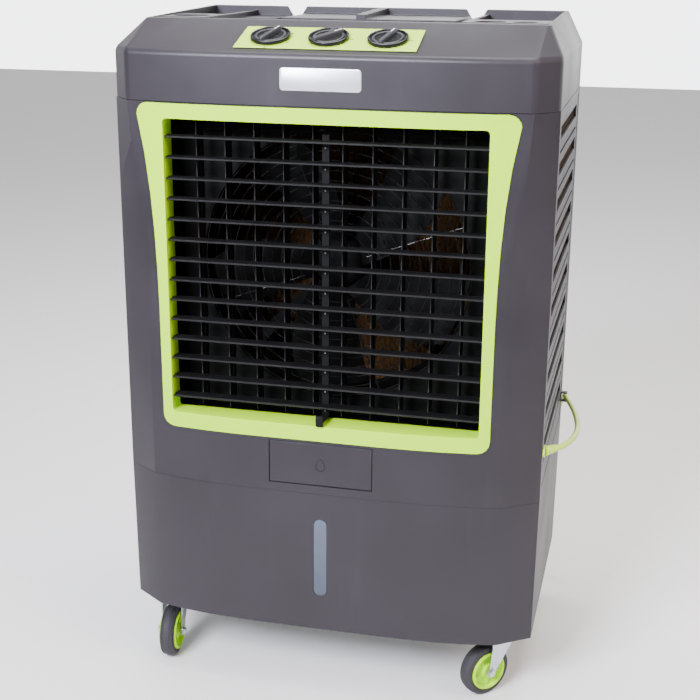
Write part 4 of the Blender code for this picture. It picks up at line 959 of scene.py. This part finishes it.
# Painted highlight: a band along each vane's front edge, broken up by noise, turns the black to grey.
highlight_edge_band = add_node(
    tree, "ShaderNodeMapRange", {0: split.outputs["Y"], 1: -0.1532, 2: -0.1526, 3: 0.9, 4: 0.0}
)
painted_highlight = add_node(
    tree, "ShaderNodeMath", {0: highlight_edge_band.outputs[0], 1: highlight_noise.outputs["Fac"]}, operation="MULTIPLY"
)
vane_colour_with_highlight = add_node(
    tree, "ShaderNodeMix", {0: painted_highlight.outputs[0], 6: linear("#070708"), 7: linear("#3d3c40")},
    data_type="RGBA"
)
tree.links.new(vane_colour_with_highlight.outputs[2], shader.inputs["Base Color"])
for i in range(10):
    moulded_shell(f"swing_vane_{i + 1:02d}", vane_polypropylene, 0.0004, "black", 0.0012, segments=2)
# The vane link takes the near-black painted shade.
moulded_shell("vane_link", painted_shade_polypropylene, 0.0005, "black", 0.002, segments=2)


# ==== Hood ====
# The top moulding: a plain front band, a slope for the controls, and a tray with wells and cups.

RIDGE_Z = 0.897


def ridge_share(edge):
    """The ridge, and the edges that meet it, have the hood's widest rounding."""
    return 1.0 if any(abs(vert.co.z - RIDGE_Z) < 0.0012 for vert in edge.verts) else None


moulded_shell("top_hood", polypropylene, 0.0060, "charcoal", 0.0040, segments=4, soft=ridge_share)

# A blank badge in satin-silver foil on the front band, with rounded corners.
silver_foil, tree, shader = new_material("satin_silver_foil", Metallic=0.55, Roughness=0.38)
# Metallised foil under clear lacquer: pale silver with a soft broad highlight.
spot = add_node(tree, "ShaderNodeTexCoord")
brushed = add_node(
    tree, "ShaderNodeMapping", {"Vector": spot.outputs["Object"], "Scale": (8.0, 8.0, 500.0)}
)
lines = add_node(tree, "ShaderNodeTexNoise", {"Vector": brushed.outputs[0], "Scale": 2.0, "Detail": 2.0})
mottle(tree, shader, lines, "#cfd1d8", "#dfe1e6")
BADGE_HALF = 0.0526
BADGE_LOW = 0.8528
BADGE_HIGH = 0.8808
BADGE_RADIUS = 0.0045
FRONT_MIDDLE = -0.1925
FRONT_BOW = 0.0165
HOOD_CREASE = 0.266


def rounded_rectangle(half_width, low, high, radius, steps=6):
    points = []
    for cx, cz, first in (
        (half_width - radius, high - radius, 0), (-half_width + radius, high - radius, 90),
        (-half_width + radius, low + radius, 180), (half_width - radius, low + radius, 270),
    ):
        for k in range(steps + 1):
            angle = math.radians(first + 90 * k / steps)
            points.append((cx + radius * math.cos(angle), cz + radius * math.sin(angle)))
    return points


def bow(x, crease):
    """How far behind its middle the bowed front lies at x."""
    return FRONT_BOW * min(1.0, abs(x) / crease) ** 4


badge = bmesh.new()
outline_points = rounded_rectangle(BADGE_HALF, BADGE_LOW, BADGE_HIGH, BADGE_RADIUS)
rings = []
for inset, proud in ((0.0, -0.0004), (0.0, 0.0007), (0.0007, 0.0012)):
    scale_x = (BADGE_HALF - inset) / BADGE_HALF
    middle_z = (BADGE_LOW + BADGE_HIGH) / 2
    scale_z = 1 - inset / (BADGE_HIGH - middle_z)
    rings.append(
        [
            badge.verts.new(
                (
                    x * scale_x, FRONT_MIDDLE + bow(x, HOOD_CREASE) - proud,
                    middle_z + (z - middle_z) * scale_z,
                )
            )
            for x, z in outline_points
        ]
    )
for low_ring, high_ring in zip(rings, rings[1:]):
    join_rings(badge, low_ring, high_ring)
badge.faces.new(rings[0])
badge.faces.new(rings[-1])
bmesh.ops.recalc_face_normals(badge, faces=badge.faces)
add_solid("blank_badge", badge, silver_foil, "cooler", "steel")


# ==== Control panel and knobs ====
# A lime panel on the slope with three rotary knobs; each is a dark skirt with a dished face, a pale
# ring, and a grip bar across it.

lime_painted_sheen, tree, shader = new_material("lime_panel_painted_sheen", IOR=1.58, Roughness=0.42)
# The panel's lime, paler and milkier than the bezel's: a painted sheen for the sky's reflection on the
# slope, with a fine velvet face.
fine = noise(tree, 1200.0, 1.0)
mottle(tree, shader, fine, "#acd42c", "#b9e03c")
moulded_shell("control_panel", lime_painted_sheen, 0.0006, "lime", 0.004, segments=2)

SLOPE = Vector((0, 0.1035, 0.0360)).normalized()
SLOPE_NORMAL = Vector((0, -SLOPE.z, SLOPE.y))
SLOPE_TURN = Matrix((Vector((1, 0, 0)), SLOPE, SLOPE_NORMAL)).transposed().to_4x4()
SLOPE_FRAME = Matrix.Translation((0, FRONT_MIDDLE, RIDGE_Z)) @ SLOPE_TURN
KNOB_UP = 0.0460
KNOB_SEAT = 0.0024
KNOBS = (("knob_fan_speed", -0.0765, -21, 4), ("knob_pump", 0.0, -46, 2), ("knob_swing", 0.0765, -15, 2))

printed_ink, tree, shader = new_material("pad_printed_ink", Roughness=0.55, Base_Color=linear("#3f4a22"))
# Dark grey pad-printing ink: a thin matt film.
knob_abs, tree, shader = new_material("moulded_abs_knob_black", IOR=1.42, Base_Color=linear("#0d0d0e"))
# Glossier black ABS with clear small highlights.
smear = noise(tree, 90.0, 2.0)
vary_gloss(tree, shader, smear, 0.20, 0.32)
knob_ring, tree, shader = new_material("moulded_abs_knob_grey", IOR=1.53, Base_Color=linear("#2a2b2e"))
# Mid-grey ABS insert ring and grip, satin.
smear = noise(tree, 90.0, 2.0)
vary_gloss(tree, shader, smear, 0.26, 0.40)
white_ink, tree, shader = new_material("white_ink", Roughness=0.5, Base_Color=linear("#ececec"))


def soft_bar(length, width, low, high, taper):
    """A grip bar with round ends and a crowned, narrower top, along local Y."""
    bm = bmesh.new()
    levels = (
        (low, 1.0), (low + (high - low) * 0.6, 1 - taper * 0.5), (high - 0.0008, 1 - taper),
        (high, 1 - taper - 0.12),
    )
    rows = []
    for z, share in levels:
        half_w, half_l = width / 2 * share, length / 2 - (1 - share) * width * 0.5
        row = []
        for end in (1, -1):
            for k in range(9):
                angle = math.radians(180 * k / 8)
                row.append(
                    bm.verts.new(
                        (
                            end * half_w * math.cos(angle),
                            end * (half_l - half_w + half_w * math.sin(angle)), z,
                        )
                    )
                )
        rows.append(row)
    for low_row, high_row in zip(rows, rows[1:]):
        join_rings(bm, low_row, high_row)
    bm.faces.new(rows[0])
    bm.faces.new(rows[-1])
    bmesh.ops.recalc_face_normals(bm, faces=bm.faces)
    return bm


def turn_on_slope(bm, x, turn):
    seat = SLOPE_FRAME @ Matrix.Translation((x, KNOB_UP, KNOB_SEAT)) @ Matrix.Rotation(
        math.radians(turn), 4, "Z"
    )
    bmesh.ops.transform(bm, matrix=seat, verts=bm.verts)
    return bm


for node, x, turn, places in KNOBS:
    skirt = turned(
        [
            (0.0, 0.0002), (0.0255, 0.0002), (0.0262, 0.0010), (0.0262, 0.0036), (0.0256, 0.0047),
            (0.0244, 0.0051),
            (0.0234, 0.0046), (0.0226, 0.0028), (0.0, 0.0024),
        ],
        64,
        Matrix.Identity(4),
    )
    shaft = turned(
        [(0.0, -0.0180), (0.0034, -0.0180), (0.0034, 0.0004), (0.0, 0.0004)], 20, Matrix.Identity(4)
    )
    add_solid(node + "_skirt", turn_on_slope(merge(skirt, shaft), x, turn), knob_abs, node,
        "knob_grey", node,
    )
    band = turned(
        [(0.0168, 0.0024), (0.0172, 0.0040), (0.0186, 0.0044), (0.0200, 0.0040), (0.0204, 0.0024)],
        64, Matrix.Identity(4), closed=True,
    )
    add_solid(node + "_band", turn_on_slope(band, x, turn), knob_ring, node, "knob_grey")
    grip = soft_bar(0.0455, 0.0078, 0.0018, 0.0080, 0.25)
    add_solid(node + "_grip", turn_on_slope(grip, x, turn), knob_ring, node, "knob_grey")
    mark = block(Matrix.Translation((0, 0.0145, 0.0080)) @ Matrix.Diagonal((0.0011, 0.0110, 0.0004, 1)))
    add_solid(node + "_mark", turn_on_slope(mark, x, turn), white_ink, node, "knob_grey")
    ticks = []
    for k in range(places):
        angle = math.radians(-k * 180 / max(places - 1, 1) if places > 2 else -k * 90)
        spin = Matrix.Rotation(angle, 4, "Z") @ Matrix.Translation((0, 0.0295, -0.00030))
        ticks.append(block(spin @ Matrix.Diagonal((0.0014, 0.0040, 0.0004, 1))))
    add_solid(node + "_ticks", turn_on_slope(merge(*ticks), x, 0), printed_ink, "cooler", "lime"
    )


# ==== Fill door ====
# A flap under the outlet, hinged at its bottom edge, with a small moulded drop on it.

moulded_shell("fill_door", polypropylene, 0.0007, "charcoal", 0.004, segments=2)
DROP_AT = Vector((0.0, FRONT_MIDDLE - 0.00005, 0.3490))
drop_line = []
for k in range(25):
    angle = math.tau * k / 24
    pinch = 0.5 * (1 + math.cos(angle))
    reach = 0.0068 * (1 + 0.55 * pinch**6)
    drop_line.append(
        DROP_AT + Vector((reach * math.sin(angle) * (1 - 0.35 * pinch**2), 0, reach * math.cos(angle)))
    )
add_solid("fill_door_drop", swept_tube(drop_line, 0.00045, 6), polypropylene, "fill_door", "charcoal"
)


# ==== Casters ====
# Pressed-steel swivel forks, bright zinc plated, with grey rubber tyres on lime wheels.

zinc_plate, tree, shader = new_material("bright_zinc_plate", Metallic=1.0)
# Clear-passivated zinc on pressed steel: silvery and slightly blue, uneven in gloss.
cloud = noise(tree, 55.0, 4.0)
mottle(tree, shader, cloud, "#a9aeb4", "#d3d8dd")
vary_gloss(tree, shader, cloud, 0.22, 0.42)
tyre_rubber, tree, shader = new_material("thermoplastic_rubber_tyre", Roughness=0.72)
# Grey-black rubber: matt, with a fine grain and a dusty tread.
grit = noise(tree, 240.0, 4.0)
mottle(tree, shader, grit, "#201f22", "#333135")
add_grain(tree, shader, grit, 0.4, 0.0003)

WHEEL_RADIUS = 0.0380
CASTER_TRAIL = 0.028
PLATE_HOLE = 0.0222
PLATE_POINTS = 16
CASTERS = (
    ("front_left", -0.2475, -0.113, 5), ("front_right", 0.2475, -0.113, -44),
    ("rear_left", -0.2475, 0.128, 25), ("rear_right", 0.2475, 0.128, -18),
)
TYRE_PROFILE = [
    (0.0272, 0.0090), (0.0286, 0.0100), (0.0330, 0.0101), (0.0352, 0.0093), (0.0368, 0.0080),
    (0.0372, 0.0068),
    (0.0366, 0.0060), (0.0372, 0.0052), (0.0380, 0.0034),
]
HUB_PROFILE = [
    (0.0046, 0.0120), (0.0092, 0.0120), (0.0104, 0.0108), (0.0112, 0.0058), (0.0225, 0.0052),
    (0.0240, 0.0112),
    (0.0248, 0.0128), (0.0268, 0.0129), (0.0278, 0.0118), (0.0280, 0.0085),
]
for name, x, y, yaw in CASTERS:
    moulded_shell(name + "_caster_fork", zinc_plate, 0.0007, "steel", 0.003, segments=2)
    at = Matrix.Translation((x, y, 0)) @ Matrix.Rotation(math.radians(yaw), 4, "Z")
    axle = at @ Matrix.Translation((0, -CASTER_TRAIL, WHEEL_RADIUS)) @ Matrix.Rotation(math.pi / 2, 4, "Y")
    tyre_profile = TYRE_PROFILE + [(r, -h) for r, h in reversed(TYRE_PROFILE)]
    add_solid(name + "_tyre", turned(tyre_profile, 72, axle, closed=True), tyre_rubber,
        name + "_wheel", "tyre", name + "_caster_wheel",
    )
    hub_profile = HUB_PROFILE + [(r, -h) for r, h in reversed(HUB_PROFILE)]
    hub = [turned(hub_profile, 72, axle, closed=True)]
    for k in range(5):
        for side in (1, -1):
            spin = Matrix.Rotation(math.tau * k / 5, 4, "Z") @ Matrix.Translation(
                (0.0165, 0, side * 0.0062)
            )
            hub.append(block(axle @ spin @ Matrix.Diagonal((0.0135, 0.0024, 0.0052, 1))))
    add_solid(name + "_hub", merge(*hub), lime_abs, name + "_wheel", "lime")
    bolt_parts = []
    for side in (1, -1):
        tip = axle @ Matrix.Translation((0, 0, side * 0.0166)) @ Matrix.Rotation(
            0 if side > 0 else math.pi, 4, "X"
        )
        washer = turned([(0.0, 0.0), (0.0070, 0.0), (0.0070, 0.0010), (0.0, 0.0010)], 28, tip)
        nut = turned(
            [(0.0, 0.0008), (0.0056, 0.0008), (0.0056, 0.0040), (0.0050, 0.0046), (0.0, 0.0046)], 6, tip
        )
        bolt_parts += [washer, nut]
    add_solid(name + "_axle_bolt", merge(*bolt_parts), zinc_plate, name + "_caster", "steel")
    plate = bmesh.new()
    plate_rings = []
    for z in (0.0962, 0.0976):
        outer = [
            plate.verts.new((x + px, y + pz, z))
            for px, pz in rounded_rectangle(0.0285, -0.0285, 0.0285, 0.006, 3)
        ]
        inner = [
            plate.verts.new((x + PLATE_HOLE * math.cos(a), y + PLATE_HOLE * math.sin(a), z))
            for a in (math.tau * (k + 0.5) / PLATE_POINTS for k in range(PLATE_POINTS))
        ]
        plate_rings.append((outer, inner))
    for ring in (0, 1):
        join_rings(plate, plate_rings[0][ring], plate_rings[1][ring])
    for outer, inner in plate_rings:
        join_rings(plate, outer, inner)
    bmesh.ops.recalc_face_normals(plate, faces=plate.faces)
    screws = []
    for sx in (-1, 1):
        for sy in (-1, 1):
            screws.append(
                turned(
                    [(0.0, 0.0), (0.0026, 0.0002), (0.0038, 0.0014), (0.0040, 0.0022), (0.0, 0.0022)], 16,
                    Matrix.Translation((x + sx * 0.0215, y + sy * 0.0215, 0.0942)),
                )
            )
    add_solid(name + "_mounting_plate", merge(plate, *screws), zinc_plate, "cooler", "steel")


# ==== Water parts and the gland ====
# Inside: a submersible pump, a clear grey hose to the drip manifold, and the float that shuts the inlet.

clear_hose, tree, shader = new_material("clear_pvc_hose", Roughness=0.25, IOR=1.53)
# Plasticised PVC, cloudy with scale inside.
cloud = noise(tree, 70.0, 2.0)
mottle(tree, shader, cloud, "#a9b0b3", "#c9cfd0")
foam_white, tree, shader = new_material("closed_cell_foam", Roughness=0.7, Base_Color=linear("#dcdde0"))
# Moulded foam float: white, matt, finely pitted.
spot = add_node(tree, "ShaderNodeTexCoord")
cells = add_node(tree, "ShaderNodeTexVoronoi", {"Vector": spot.outputs["Object"], "Scale": 420.0})
bump = add_node(
    tree, "ShaderNodeBump", {"Height": cells.outputs["Distance"], "Strength": 0.3, "Distance": 0.0004}
)
tree.links.new(bump.outputs["Normal"], shader.inputs["Normal"])

moulded_shell("pump", black_polypropylene, 0.0020, "black", 0.004)
moulded_shell("cord_gland", cord_pvc, 0.0005, "black", 0.004, segments=2)
for node, material in (("water_line", clear_hose), ("float_arm", foam_white)):
    piece = frame["nodes"][node]
    piece.data.materials.clear()
    piece.data.materials.append(material)
